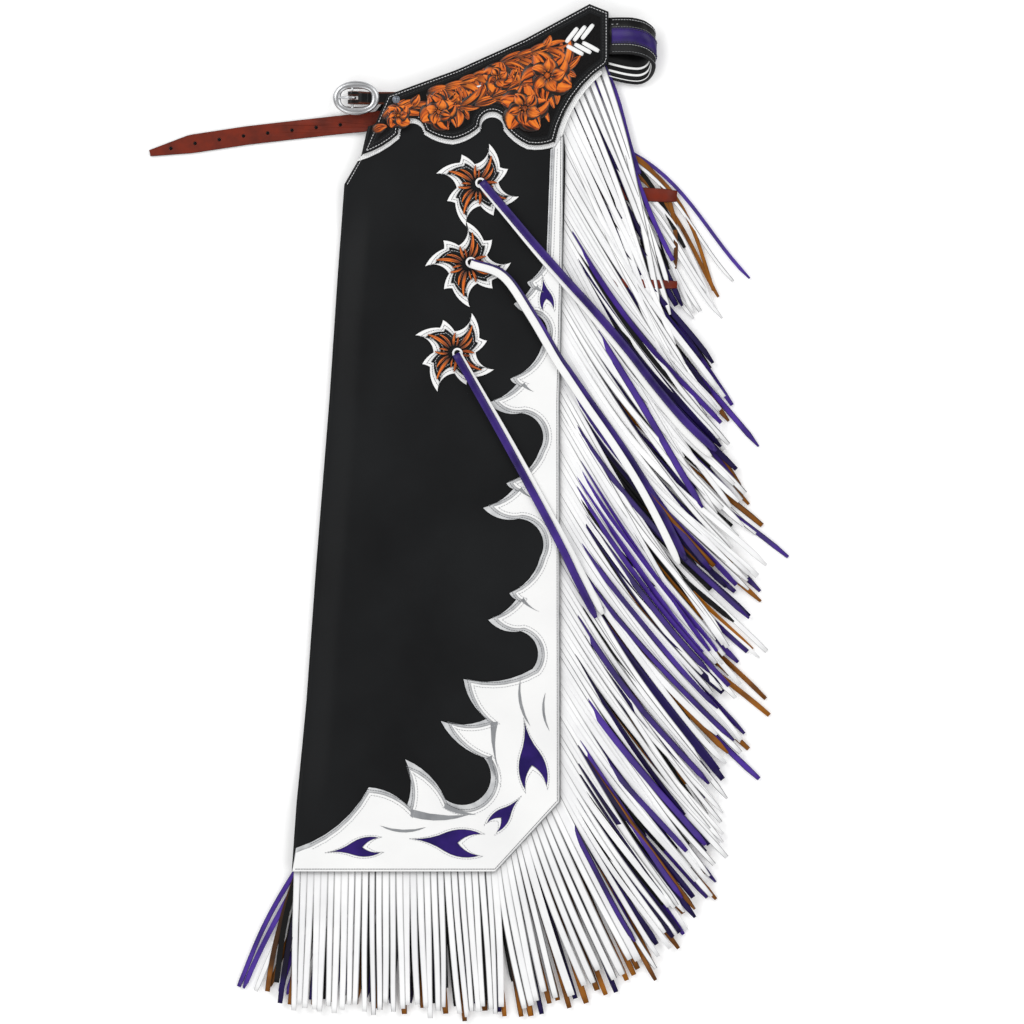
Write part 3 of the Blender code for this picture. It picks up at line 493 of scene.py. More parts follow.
# A flat plate with rounded edges: rings of each outline go up its wall and in over its
# rounded edge, and the flat top and bottom are triangles between the last rings.
def plateArrays(loops, bottom, thickness, rounding):
    section = (
        # share of the rounding moved in, height, edge paint
        (0.6, bottom, 1.0),
        (0.0, bottom + 0.5 * rounding, 1.0),
        (0.0, bottom + thickness - rounding, 0.8),
        (0.3, bottom + thickness - 0.3 * rounding, 0.25),
        (1.0, bottom + thickness, 0.0),
    )
    points, faces, edges, tops, bottoms = [], [], [], [], []
    base = 0
    for number, loop in enumerate(loops):
        loop = np.asarray(loop, float)
        if (loopArea(loop) > 0) != (number == 0):
            loop = loop[::-1]
        rings = [withHeight(offsetLoop(loop, share * rounding), z) for share, z, _ in section]
        index = base + np.arange(len(loop) * len(section)).reshape(len(section), len(loop))
        base += index.size
        faces += wallFaces(index).tolist()
        points += rings
        edges += [np.full(len(loop), paint) for _, _, paint in section]
        tops.append((rings[-1], index[-1]))
        bottoms.append((rings[0], index[0]))
    caps = []
    for rings, facing in ((tops, 1), (bottoms, -1)):
        places = np.vstack([ring for ring, _ in rings])
        numbers = np.concatenate([index for _, index in rings])
        for triangle in tessellate_polygon([ring.tolist() for ring, _ in rings]):
            a, b, c = places[list(triangle)]
            turn = (b[0] - a[0]) * (c[1] - a[1]) - (b[1] - a[1]) * (c[0] - a[0])
            order = triangle if turn * facing > 0 else triangle[::-1]
            caps.append([int(numbers[k]) for k in order])
    return np.vstack(points), faces + caps, np.concatenate(edges), len(caps)


def platePiece(name, loops, bottom, thickness, rounding, finish, replaces=(), slot=None):
    points, faces, edges, flat = plateArrays(loops, bottom, thickness, rounding)
    return addPiece(name, points, faces, finish, replaces, {"edge": edges}, flat, slot=slot)


stitch = {"pitch": 3.2, "length": 2.1, "width": 0.62, "thickness": 0.55, "rise": 0.28}
threadRuns = {"whiteThread": [], "greyThread": [], "paleThread": [], "blackThread": []}


# Remembers a row of stitches along a line, to be made together at the end. Slanted ones lie
# across the line like the turns of a rope.
def sew(line, thread, closed=False, up=None, pitch=stitch["pitch"], slant=0.0, size=1.0):
    places, ways = resample(line, pitch, closed)
    if up is None:
        ups = np.tile([0.0, 0.0, 1.0], (len(places), 1))
    else:
        ups = resample(np.hstack([line, up]), pitch, closed)[0][:, 3:6]
    ways = ways * math.cos(slant) + np.cross(ups, ways) * math.sin(slant)
    threadRuns[thread].append((places, ways, ups, np.full((len(places), 1), size)))


# Each stitch is a short thread whose ends dip into the leather.
def makeThread():
    along = np.array([-0.5, -0.32, 0.32, 0.5])[None, :, None] * stitch["length"]
    lift = np.array([-1.0, 0.6, 0.6, -1.0])[None, :, None] * stitch["rise"]
    for thread, runs in threadRuns.items():
        places, ways, ups, sizes = (np.vstack(rows) for rows in zip(*runs))
        paths = places[:, None] + (ways * sizes)[:, None] * along + ups[:, None] * lift
        across = np.cross(ups, ways)[:, None]
        widths = stitch["width"] * sizes
        points, faces, _ = sweep(paths, widths, stitch["thickness"], "thread", across)
        addPiece(thread + "Stitches", points, faces, thread)
        print(thread, len(places), "stitches")


# the legs' outlines and the fringe line

leg = {
    "rows": [
        # y, inner edge, wing edge
        (-378, -177, 36), (-305, -172, 103), (-200, -162, 103), (-60, -152, 102.5),
        (115, -138, 102.5), (250, -129, 105.5), (341, -122, 108), (372, -104, 108.5),
        (390, -100, 107), (402, -97, 104), (410, -58, 104), (431, -58, 112), (449, 2, 116),
        (478, 60, 116), (512, 112, 117),
    ],
    "waistRows": [
        # y, inner edge, wing edge of the lower leg, above its own yoke line
        (418, -90, 104), (431, -79, 111), (449, 2, 131), (467, 40, 153), (478, 58, 153),
        (512, 110, 153), (522, 128, 153),
    ],
    "thickness": 2.5,
    "flat": (0.294, 0.89),  # width and height when flat, in metres
    "lowerFlat": (0.33, 0.9),
    "spacing": 7,
    "rollWidth": 32,
    "rollBottom": 2.8,
    "bulge": 0.6,  # of the cut edges
    "flatEdges": (20, 30),  # creases keep this far from the inner edge and the wing edge
    "creaseDrop": 0.2,
    # y where it starts, the span it eases in over, y where it ends and that span
    "rolled": (-340, 90, 350, 70),
    "creased": (-300, 60, 390, 40),
    "creases": [
        # x, y, x, y of its ends, width, height
        (-118, 250, -128, 120, 16, 0.7), (-96, 180, -118, -20, 22, -0.8),
        (-60, 120, -84, -90, 30, 0.6), (-135, -40, -146, -210, 17, 0.6),
        (-20, 60, -46, -120, 34, -0.7), (-108, -120, -128, -300, 26, -0.7),
        (-74, 330, -50, 250, 24, 0.5), (-84, -200, -60, -250, 22, 0.5),
    ],
}
# The lower leg has the upper one's outline up to its waist.
lowerRows = [*[row for row in leg["rows"] if row[0] < 403], *leg["waistRows"]]
legTable = np.array(leg["rows"], float)
fringeEdge = np.array(
    [
        (153, 467), (131, 449), (112, 431), (102, 410), (99.5, 385), (101.5, 115), (103, -200),
        (103, -305), (36, -378), (-176, -378),
    ],
    float,
)
fringeAlong = distances(fringeEdge)
edgeDrop = 0.0088  # the fringe sinks by this share of its distance from the panels' edge


def wingX(y):
    return np.interp(y, legTable[:, 0], legTable[:, 2])


def edgePoint(distance):
    return np.stack([np.interp(distance, fringeAlong, fringeEdge[:, k]) for k in (0, 1)], -1)


# The way in from the fringe line, turned gently round its corners.
def edgeInward(distance):
    way = unit(edgePoint(distance + 6) - edgePoint(distance - 6))
    return np.stack([way[..., 1], -way[..., 0]], axis=-1)


# How far each point is from the nearest of the spans that go from start by way.
def distanceTo(x, y, start, way):
    place = np.stack([x, y], axis=-1)[..., None, :] - start
    share = np.clip((place * way).sum(-1) / np.maximum((way**2).sum(-1), 1e-9), 0, 1)
    return np.linalg.norm(place - share[..., None] * way, axis=-1).min(-1)


# How far what hangs past the fringe line has sunk there: a share of its distance from it.
def sunk(x, y):
    drop = edgeDrop * distanceTo(x, y, fringeEdge[:-1], np.diff(fringeEdge, axis=0))
    return np.where((wingX(y) > x) & (y > fringeEdge[-1, 1]), 0.0, drop)


# strings: two at each rosette, laid over the border and the fringe

strings = {
    "width": 8.0,
    "leather": 1.6,
    "spread": 8.0,
    "steps": 8,
    "seats": {"rosette": 16.4, "border": 15.0, "fringe": 11.3},
    "routes": [
        [
            (20, 342, "rosette"), (52, 303, "rosette"), (80, 269, "border"), (112, 232, "border"),
            (134, 207, "fringe"), (167, 167, "fringe"), (197, 127, "fringe"), (228, 89, "fringe"),
            (261, 56, "fringe"),
        ],
        [
            (10, 259, "rosette"), (45, 246, "rosette"), (74, 206, "border"), (101, 161, "border"),
            (113, 144, "border"), (134, 114, "fringe"), (164, 72, "fringe"), (190, 32, "fringe"),
            (213, -9, "fringe"), (235, -53, "fringe"),
        ],
        [
            (-4, 164, "rosette"), (22, 120, "rosette"), (50, 72, "border"), (88, 4, "border"),
            (111, -38, "border"), (126, -67, "fringe"), (148, -109, "fringe"),
        ],
    ],
    "pairs": [
        # lower colour, upper colour, side of the upper one
        ("white", "purple", 1), ("purple", "white", -1), ("white", "purple", -1),
    ],
}


# Smooth from above, and resting on the seat that each row names.
def stringPath(route):
    places = smoothLine([row[:2] for row in route], strings["steps"])
    corner = np.array([row[:2] for row in route], float)
    seats = np.array([strings["seats"][row[2]] for row in route])
    seats = seats + gap + strings["leather"] / 2 - sunk(corner[:, 0], corner[:, 1])
    stations = np.arange(len(route)) * strings["steps"]
    return np.column_stack([places, np.interp(np.arange(len(places)), stations, seats)])


def makeStrings():
    for number, (route, pair) in enumerate(zip(strings["routes"], strings["pairs"]), 1):
        lower = stringPath(route)
        share = np.linspace(0.25, 1, len(lower))[:, None]
        lift = np.array([0, 0, strings["leather"] + gap])
        upper = lower + levelAcross(lower) * strings["spread"] * pair[2] * share + lift
        for colour, path in zip(pair, (lower, upper)):
            wander = np.sin(np.linspace(0, 9, len(path)) + number)[:, None]
            width = np.full(len(path), strings["width"])
            width[-3:] *= (0.96, 0.8, 0.45)  # the cut end comes to a point
            piece = sweepPiece(
                f"string{number}{colour.title()}", path, (width, strings["leather"]), "strap",
                colour, [f"string_{number}_{colour}"],
                tilted(levelAcross(path), np.radians(4) * wander),
            )
    print("strings laid")


makeStrings()

# the two legs


# Soft ridges and troughs: each falls off as a bell across its line and past its ends.
def creaseHeight(x, y):
    total = np.zeros_like(x)
    for x0, y0, x1, y1, width, height in leg["creases"]:
        way = np.array([x1 - x0, y1 - y0], float)
        share = ((x - x0) * way[0] + (y - y0) * way[1]) / (way @ way)
        held = np.clip(share, 0, 1)
        away = np.hypot(x - x0 - held * way[0], y - y0 - held * way[1])
        total += height * np.exp(-((away / width) ** 2)) * np.sin(np.pi * (0.15 + 0.7 * held))
    return total


# Cross-sections up the leg: along the top from inner edge to wing edge, round the cut edge
# and back beneath. The upper leg's inner edge rolls down, and soft creases ride on it.
def legShell(rows, bottom, shares, rolled):
    table = np.array(rows, float)
    spans = [
        np.linspace(a, b, max(1, math.ceil((b - a) / leg["spacing"])), endpoint=False)
        for a, b in zip(table[:-1, 0], table[1:, 0])
    ]
    y = np.concatenate([*spans, table[-1:, 0]])
    left, right = (np.interp(y, table[:, 0], table[:, k])[:, None] for k in (1, 2))
    x = left + (right - left) * shares
    wide = np.broadcast_to(y[:, None], x.shape)
    low = np.full(x.shape, float(bottom))
    if rolled:
        near = 1 - ease((x - left) / leg["rollWidth"])
        low -= (bottom - leg["rollBottom"]) * near * within(wide, *leg["rolled"])
        inner, outer = leg["flatEdges"]
        clear = within(x, left, inner, right, outer) * within(wide, *leg["creased"])
        low += (creaseHeight(x, wide) - leg["creaseDrop"]) * clear
    top = np.stack([x, wide, low + leg["thickness"]], axis=-1)
    beneath = np.stack([x, wide, low], axis=-1)
    bulge = np.array([leg["bulge"], 0, 0])
    leftEdge = (top[:, :1] + beneath[:, :1]) / 2 - bulge
    rightEdge = (top[:, -1:] + beneath[:, -1:]) / 2 + bulge
    rings = np.concatenate([beneath, rightEdge, top[:, ::-1], leftEdge], axis=1)
    index = np.arange(rings[..., 0].size).reshape(rings.shape[:2])
    half = len(shares)
    k = np.arange(half - 1)
    cap = np.stack([k, k + 1, 2 * half - 1 - k, 2 * half - k], axis=-1)
    faces = np.roll(wallFaces(index), -1, axis=1).tolist()
    for row, order in ((index[0], 1), (index[-1], -1)):
        faces += row[cap][:, ::order].tolist()
        for corner in ((row[half - 1], row[half], row[half + 1]), (row[-1], row[0], row[-2])):
            faces.append([int(c) for c in corner[::order]])
    return rings, faces


def makeLegs():
    # closer together where the upper leg's inner edge rolls
    rolling = 0.16
    shares = [*np.linspace(0, rolling, 12, endpoint=False), *np.linspace(rolling, 1, 36)]
    upper = legShell(leg["rows"], layers["leg"], np.array(shares), True)
    lower = legShell(lowerRows, 0, np.linspace(0, 1, 8), False)
    return (
        addPiece("upperLeg", *upper, "black", ["top_leg"]),
        addPiece("lowerLeg", *lower, "black", ["under_leg"]),
    )


upperLeg, lowerLeg = makeLegs()
print("legs laid")

# border, its silver backing and its inlays

border = {
    "end": 391,
    "inset": 9.0,
    "silverMargin": 4.5,
    "shown": 1.1,  # how much of the backing shows along the panel's cut edge
    "base": 1.0,
    "leather": 1.5,
    "inlay": 0.8,
    "split": 0.3,
    "firstScroll": 6,  # rows before it are the outer edge and the strip's top
    "windowSeam": 2.0,
    "whiteSeam": 2.8,
    "silverSeam": 2.6,
    "scroll": [
        # down, reach, bulge
        (0.00, 0.10, -0.24), (0.30, 0.66, 0.22), (0.36, 0.52, -0.16), (0.52, 1.00, 0.28),
        (0.60, 0.50, -0.55),
    ],
    "scrolls": [(268, 98, 33), (170, 108, 55), (62, 112, 60), (-50, 122, 56)],
    "fanCentre": (69.5, -341.5),
    "fanHeading": 137.4,
    "halfFan": [
        # turn from the corner's diagonal, reach, bulge
        (51, 172, -0.20), (27, 172, 0.20), (31, 124, -0.20), (13, 142, 0.20), (22, 92, -0.90),
    ],
    "hemEnd": (-173, -358),
    "windows": [
        # x, y, heading, length, width
        (88, 226, 100, 34, 12), (72, -256, 100, 72, 24), (-15, -347, 175, 72, 24),
        (46, -317, 47, 42, 15), (-112, -354, 188, 56, 16),
    ],
    "window": [
        (0.50, 0.00, -0.12), (0.02, 0.42, 0.22), (-0.50, 0.46, -0.24), (-0.16, 0.00, -0.24),
        (-0.50, -0.46, 0.22), (0.02, -0.42, -0.12),
    ],
    "slit": [(0.50, 0.16, -0.16), (-0.50, 0.50, 0.0), (-0.50, -0.50, 0.10)],
    "vein": [(0.50, 0.00, -0.14), (-0.50, 0.00, 0.26)],
    "veins": [
        # x, y, heading, length, width
        (62, -178, -78, 50, 6), (-84, -330, -2, 48, 6), (88, -192, -84, 40, 5),
    ],
    "cornerSplits": [
        # row of the fan, heading, length, width
        (2, -84, 60, 8), (7, -1, 60, 8), (4, -70, 34, 5), (5, -15, 34, 5),
    ],
    "edgeSeam": [(100.4, -303.8), (35, -375.4), (-174, -375.4)],
    "cornerSeam": [(-119.5, 340.5), (-101.5, 372.5)],
}


# The corner's fan, from the wing side round to the hem side, which is its mirror image.
def fanRows():
    half = border["halfFan"]
    mirrored = [(-half[i][0], half[i][1], half[i - 1][2]) for i in range(len(half) - 1, 0, -1)]
    rows = []
    for turn, reach, bulge in [*half, *mirrored]:
        angle = math.radians(border["fanHeading"] - turn)
        x = border["fanCentre"][0] + reach * math.cos(angle)
        y = border["fanCentre"][1] + reach * math.sin(angle)
        rows.append((x, y, bulge))
    return rows


# A leaf of that length and width about x, y, with its point ahead.
def leafRows(x, y, heading, length, width, shape):
    angle = math.radians(heading)
    ahead = np.array([math.cos(angle), math.sin(angle)]) * length
    left = np.array([-math.sin(angle), math.cos(angle)]) * width
    return [(*(np.array([x, y]) + ahead * on + left * aside), bulge) for on, aside, bulge in shape]


# Outer edge up, then the scrolls back down to the fan and the hem.
def borderRows():
    end, inset = border["end"], border["inset"]
    rows = [(36, -378, 0.0), (103, -305, 0.0)]
    rows += [(float(wingX(y)), y, 0.0) for y in (115, 250, end)]
    rows.append((rows[-1][0] - inset, end - 12, 0.0))
    for top, height, reach in border["scrolls"]:
        for down, inward, bulge in border["scroll"]:
            y = top - down * height
            rows.append((float(wingX(y)) - inset - inward * reach, y, bulge))
    return [*rows, *fanRows(), (*border["hemEnd"], 0.0), (-177, -378, 0.0)]


def makeBorder():
    rows = borderRows()
    margin, first = border["silverMargin"], border["firstScroll"]
    grown = movedOut(rows, margin)[first:-1]
    end = rows[first - 1]
    base = [*rows[: first - 1], (end[0] - margin, end[1] - 2, 0.0), *grown[:-1]]
    base += [(rows[-2][0], rows[-2][1] + margin, 0.0), rows[-1]]
    low, seat = layers["overLeg"], layers["borderTop"]
    top = seat + border["leather"]
    platePiece(
        "borderBacking", [outline(base)], low, border["base"], 0.35, "silver", ["border_base"]
    )
    windows = [leafRows(*window, border["window"]) for window in border["windows"]]
    # The white layer stops short of the panel's cut edge, so that the backing shows as a line.
    inner = [
        (x - border["shown"] * (row < first - 1), y, bulge)
        for row, (x, y, bulge) in enumerate(rows)
    ]
    loops = [outline(loop) for loop in (inner, *windows)]
    platePiece("whiteBorder", loops, seat, border["leather"], 0.6, "white", ["border_top"])
    for number, window in enumerate(windows, 1):
        loops = [outline(movedOut(window, -gap))]
        name, node = f"inlay{number}", f"inlay_{number}"
        platePiece(name, loops, seat, border["inlay"], 0.2, "inlay", [node])
        around = outline(movedOut(window, border["windowSeam"]))
        sew(withHeight(around, top), "paleThread", True, pitch=2.8)
    # Each notch between two leaves runs on into the white as a split that shows silver.
    notches = [(*rows[first + 5 * k + 2][:2], -38, 10 + 4 * k, 4.5) for k in range(4)]
    notches += [(*rows[first + 20 + row][:2], *split) for row, *split in border["cornerSplits"]]
    notches += border["veins"]
    for number, (x, y, heading, length, width) in enumerate(notches, 1):
        way = math.radians(heading)
        middle = (x + math.cos(way) * (length / 2 - 1), y + math.sin(way) * (length / 2 - 1))
        shape = border["vein"] if number > 8 else border["slit"]
        if number in (6, 8, 10):  # the hem side's are turned over
            turned = [*shape[-2::-1], shape[-1]]
            shape = [(on, -aside, -row[2]) for (on, aside, _), row in zip(shape[::-1], turned)]
        loops = [outline(leafRows(*middle, heading, length, width, shape))]
        platePiece(f"silverSplit{number}", loops, top, border["split"], 0.12, "greySilver")
    curved = slice(len(outline(rows[:first])) - 1, -2)
    white = outline(rows)
    edgeRows = rows[first - 2 : 1 : -1]
    outer = [(x - border["silverSeam"], y) for x, y, _ in edgeRows] + border["edgeSeam"]
    for line, height, thread, pitch, size in (
        (offsetLoop(white, border["whiteSeam"])[curved], top, "paleThread", 2.9, 1.0),
        (
            offsetLoop(white, -border["silverSeam"])[curved], low + border["base"], "greyThread",
            2.7, 1.0,
        ),
        (outer, top, "greyThread", 2.9, 1.25),
        (border["cornerSeam"], layers["leg"] + leg["thickness"], "whiteThread", 3.0, 1.0),
    ):
        sew(withHeight(line, height), thread, pitch=pitch, size=size)


makeBorder()
print("border sewn")

# yoke, piping and lacing

yoke = {
    "rows": [
        # x, y, bulge
        (-103, 372, 0.12), (-66, 393, -1.05), (-38, 397, 0.14), (-9, 387, 0.16), (19, 401, -1.15),
        (46, 401, 0.14), (70, 382, 0.14), (97, 385, -0.20), (152, 466, 0.0), (154, 472, 0.0),
        (154, 521, 0.0), (134, 529, -0.055), (-77, 434, 0.0),
    ],
    "piped": 8,
    "thickness": 3.0,
    "pipingMargin": 5.0,
    "pipingHidden": 9.0,
    "rivet": (-68, 429),
    "panelInset": 8.5,
    "rivetHole": 2.1,
    "whiteSeam": 2.6,
    "blackSeam": 6.0,
    "piping": 1.5,
    "binding": {"ends": ((98, 383), (155, 469)), "bulge": -0.20, "width": 6.0, "inset": 2.6},
    "laceCentre": (117.5, 488.5),
    "laceHeading": 192,
    "laceSlant": 40,
    "laceLength": 19.5,
    "laceLeather": 1.2,
    "laceGap": 1.3,  # half the gap between the two arms of a chevron
    "laceHole": 1.5,
    "laceClear": 26,  # no leaves this near to the lacing
    "laceWidths": 4.7 * np.array([0.6, 0.85, 0.95, 1, 0.95, 0.8, 0.6]),
    "lacePitches": [8.4, 0.0, -8.4],
}
tooling = {
    "seed": 4,
    "height": 1.7,
    "vines": [
        [(-97, 388), (-78, 414), (-38, 424), (6, 422), (46, 438), (84, 446), (112, 462)],
        [(-44, 434), (-4, 446), (30, 462), (60, 474), (92, 484)],
    ],
    "spacing": 17.0,
    "leaves": [
        # turn from the vine, length, width, bend towards the tip
        (34, 40, 12.5, 50), (80, 25, 11.5, 66), (8, 28, 7.0, -36),
    ],
    # Small leaves that fill what is left, each from and to.
    "gridX": (-100, 156),
    "gridY": (375, 530),
    "gridSpacing": 19.0,
    "jitter": (-2.5, 2.5),
    "fillAway": (8, 34),  # distance from the nearest vine
    "fillTurns": (15, 75),
    "fillLengths": (20, 31),
    "fillWidths": (7.5, 10.5),
    "fillBends": (30, 70),
    "fillHeight": 0.75,
    "shortest": 12,
    "glint": {"length": 5.2, "width": 1.9, "bend": 60, "height": 0.9},
    "blossoms": [
        # x, y, radius, petals, turn
        (66, 420, 24, 5, 10), (90, 454, 25, 5, 40), (38, 452, 15, 4, 70), (-24, 416, 18, 4, 20),
        (-66, 412, 13, 4, 50),
    ],
}


def circleLoop(x, y, radius, count=24):
    angles = np.linspace(0, 2 * np.pi, count, endpoint=False)
    return np.stack([x + radius * np.cos(angles), y + radius * np.sin(angles)], axis=1)


# Whether each point is inside: the loop crosses its level an odd number of times beside it.
def insideLoop(x, y, loop):
    following = np.roll(loop, -1, axis=0)
    x, y = x[:, None], y[:, None]
    crossing = (loop[:, 1] > y) != (following[:, 1] > y)
    rise = np.where(following[:, 1] == loop[:, 1], 1e-9, following[:, 1] - loop[:, 1])
    at = loop[:, 0] + (y - loop[:, 1]) / rise * (following[:, 0] - loop[:, 0])
    return (crossing & (x < at)).sum(1) % 2 == 1


# Domed leaves, all at once: each spine is an arc that turns by bend, and its width follows
# the sine of the way along, raised so that it is fullest past the middle.
def carvedLeaves(x, y, heading, length, width, bend, bottom, height, profile="petal"):
    a = np.linspace(0, 1, 9)
    x, y, heading, length, width, bend, bottom, height = (
        value.astype(float)
        for value in np.broadcast_arrays(
            *np.atleast_1d(x, y, heading, length, width, bend, bottom, height)
        )
    )
    angles = np.radians(heading[:, None] + bend[:, None] * (a - 0.3))
    places = walked(x, y, angles, length[:, None] / (len(a) - 1))
    paths = np.stack([*places, np.broadcast_to(bottom[:, None], angles.shape)], axis=-1)
    full = np.sin(np.pi * np.clip(a, 0.02, 0.97) ** 0.85) ** 0.75
    widths = width[:, None] * (0.08 + 0.92 * full)
    return sweep(paths, widths, height[:, None] * (0.25 + 0.75 * full), profile)


# Two rings of petals about a button: outer ones broad and lapped, inner ones turned half.
def blossom(x, y, radius, petals, turn, bottom, height):
    number = np.arange(petals)
    rings = []
    for share, lift, shift in ((1.0, 0.0, 0), (0.62, 0.55, 180 / petals)):
        heading = turn + number * 360 / petals + shift
        width, raised = 1.12 * share * 5.5 / petals, lift * height + 0.05 * number
        rings.append((heading, 0.12, share, width, 38, raised, 0.9 + 0.2 * share, "petal"))
    rings.append((np.arange(9) * 40, 0.13, 0.14, 0.09, 0, 0.9 * height, 0.7, "dome"))
    return [
        carvedLeaves(
            x + np.cos(np.radians(heading)) * radius * start,
            y + np.sin(np.radians(heading)) * radius * start,
            heading, radius * length, radius * width, bend, bottom + raised, height * dome, profile,
        )
        for heading, start, length, width, bend, raised, dome, profile in rings
    ]


# Each leaf's length, cut down until its tip stays inside the panel; none beside the lacing.
def fittedLength(x, y, heading, bend, length, panel):
    way = np.radians(heading + 0.25 * bend)
    fitted = np.zeros_like(length)
    for share in (0.35, 0.5, 0.65, 0.8, 1.0):
        tipX, tipY = x + np.cos(way) * length * share, y + np.sin(way) * length * share
        inside = insideLoop(tipX, tipY, panel)
        fitted = np.where(inside, np.maximum(fitted, length * share), fitted)
    x0, y0 = yoke["laceCentre"]
    return np.where(np.hypot(x - x0 - 3, y - y0) < yoke["laceClear"], 0, fitted)


# Blossoms stand on a vine, curled leaves spring from it on both sides, and small leaves on a
# jittered grid fill what is left.
def makeTooling(panel):
    random = np.random.default_rng(tooling["seed"])
    top = layers["yoke"] + yoke["thickness"]
    runs = [resample(smoothLine(line, 8), tooling["spacing"]) for line in tooling["vines"]]
    vine, ways = (np.vstack(rows) for rows in zip(*runs))
    course = np.degrees(np.arctan2(ways[:, 1], ways[:, 0]))
    space = tooling["gridSpacing"]
    columns, rows = np.arange(*tooling["gridX"], space), np.arange(*tooling["gridY"], space * 0.87)
    gridX, gridY = np.meshgrid(columns, rows)
    gridX = gridX + (np.arange(gridX.shape[0]) % 2)[:, None] * space / 2
    jitter = tooling["jitter"]
    x, y = (grid.ravel() + random.uniform(*jitter, grid.size) for grid in (gridX, gridY))
    keep = insideLoop(x, y, panel)
    x, y = x[keep], y[keep]
    away = np.hypot(x[:, None] - vine[:, 0], y[:, None] - vine[:, 1])
    nearest = away.argmin(1)
    way, root = ways[nearest], vine[nearest]
    left = way[:, 0] * (y - root[:, 1]) - way[:, 1] * (x - root[:, 0]) > 0
    aside = np.where(left, 1, -1)
    least, most = tooling["fillAway"]
    keep = (away.min(1) > least) & (away.min(1) < most)
    count = keep.sum()
    heading = course[nearest] + aside * random.uniform(*tooling["fillTurns"], len(x))
    size = random.uniform(*tooling["fillLengths"], count)
    broad = random.uniform(*tooling["fillWidths"], count)
    curl = aside * random.uniform(*tooling["fillBends"], len(x))
    fill = (x[keep], y[keep], heading[keep], size, broad, curl[keep], tooling["fillHeight"])
    sprigs = [fill]
    count = len(vine)
    for turn, length, width, bend in tooling["leaves"]:
        for side in (1, -1):
            heading = course + side * (turn + random.uniform(-9, 9, count))
            size = length * random.uniform(0.85, 1.2, count)
            curl = side * bend * random.uniform(0.8, 1.25, count)
            sprigs.append((*vine.T, heading, size, np.full(count, width), curl, 1.0))
    parts = []
    for x, y, heading, length, width, bend, height in sprigs:
        length = fittedLength(x, y, heading, bend, length, panel)
        keep = length > tooling["shortest"]
        leaves = (row[keep] for row in (x, y, heading, length, width, bend))
        bottom = top - 0.3 + random.uniform(0, 0.35, keep.sum())
        parts.append(carvedLeaves(*leaves, bottom, tooling["height"] * height))
    for row in tooling["blossoms"]:
        parts += blossom(*row, top + 0.3, tooling["height"])
    points, faces, values = joined(parts)
    addPiece("yokeCarving", points, faces, "tooled", (), values)
    x, y, heading = (row[::3] for row in fill[:3])
    length = fittedLength(x, y, heading, 40, np.full(len(x), 6.5), panel)
    petals = np.array([row[:3] for row in tooling["blossoms"]], float)
    clear = np.hypot(x[:, None] - petals[:, 0], y[:, None] - petals[:, 1]) > petals[:, 2] * 0.9
    keep = (length > 4) & clear.all(1)
    length, width, bend, height = tooling["glint"].values()
    heading = heading[keep] + 30
    glints = carvedLeaves(x[keep], y[keep], heading, length, width, bend, top + 1.2, height, "dome")
    points, faces, values = joined([glints])
    addPiece("yokeGlints", points, faces, "white", (), {"shade": values["shade"] * 0.3})


# Nested chevrons of flat lace whose ends go down through punched holes.
def makeLacing():
    slant, heading = math.radians(yoke["laceSlant"]), math.radians(yoke["laceHeading"])
    forward = np.array([math.cos(heading), math.sin(heading)])
    sideways = np.array([-forward[1], forward[0]])
    length = yoke["laceLength"]
    shares = np.array([0, 0.06, 0.2, 0.5, 0.85, 0.95, 1.0])
    rise = np.array([0.1, 0.9, 1.15, 1.2, 1.0, 0.5, -0.6])
    paths, holes = [], []
    for ahead in yoke["lacePitches"]:
        for side, over in ((1, 0), (-1, 0.35)):
            arm = -forward * math.cos(slant) + sideways * side * math.sin(slant)
            root = yoke["laceCentre"] + forward * ahead + sideways * side * yoke["laceGap"]
            root = root + arm * 0.8
            places = root + arm * (length * shares)[:, None]
            paths.append(np.column_stack([places, layers["overYoke"] + (rise + over) - 0.5]))
            holes.append(root + arm * (length + 0.8))
    size = (yoke["laceWidths"], yoke["laceLeather"])
    sweepPiece("lacing", np.array(paths), size, "strap", "white", ["yoke_lacing"], worn=0.5)
    top = layers["yoke"] + yoke["thickness"]
    for number, (x, y) in enumerate(holes, 1):
        loops = [circleLoop(x, y, yoke["laceHole"], 14)]
        platePiece(f"laceHole{number}", loops, top, 0.12, 0.05, "black")


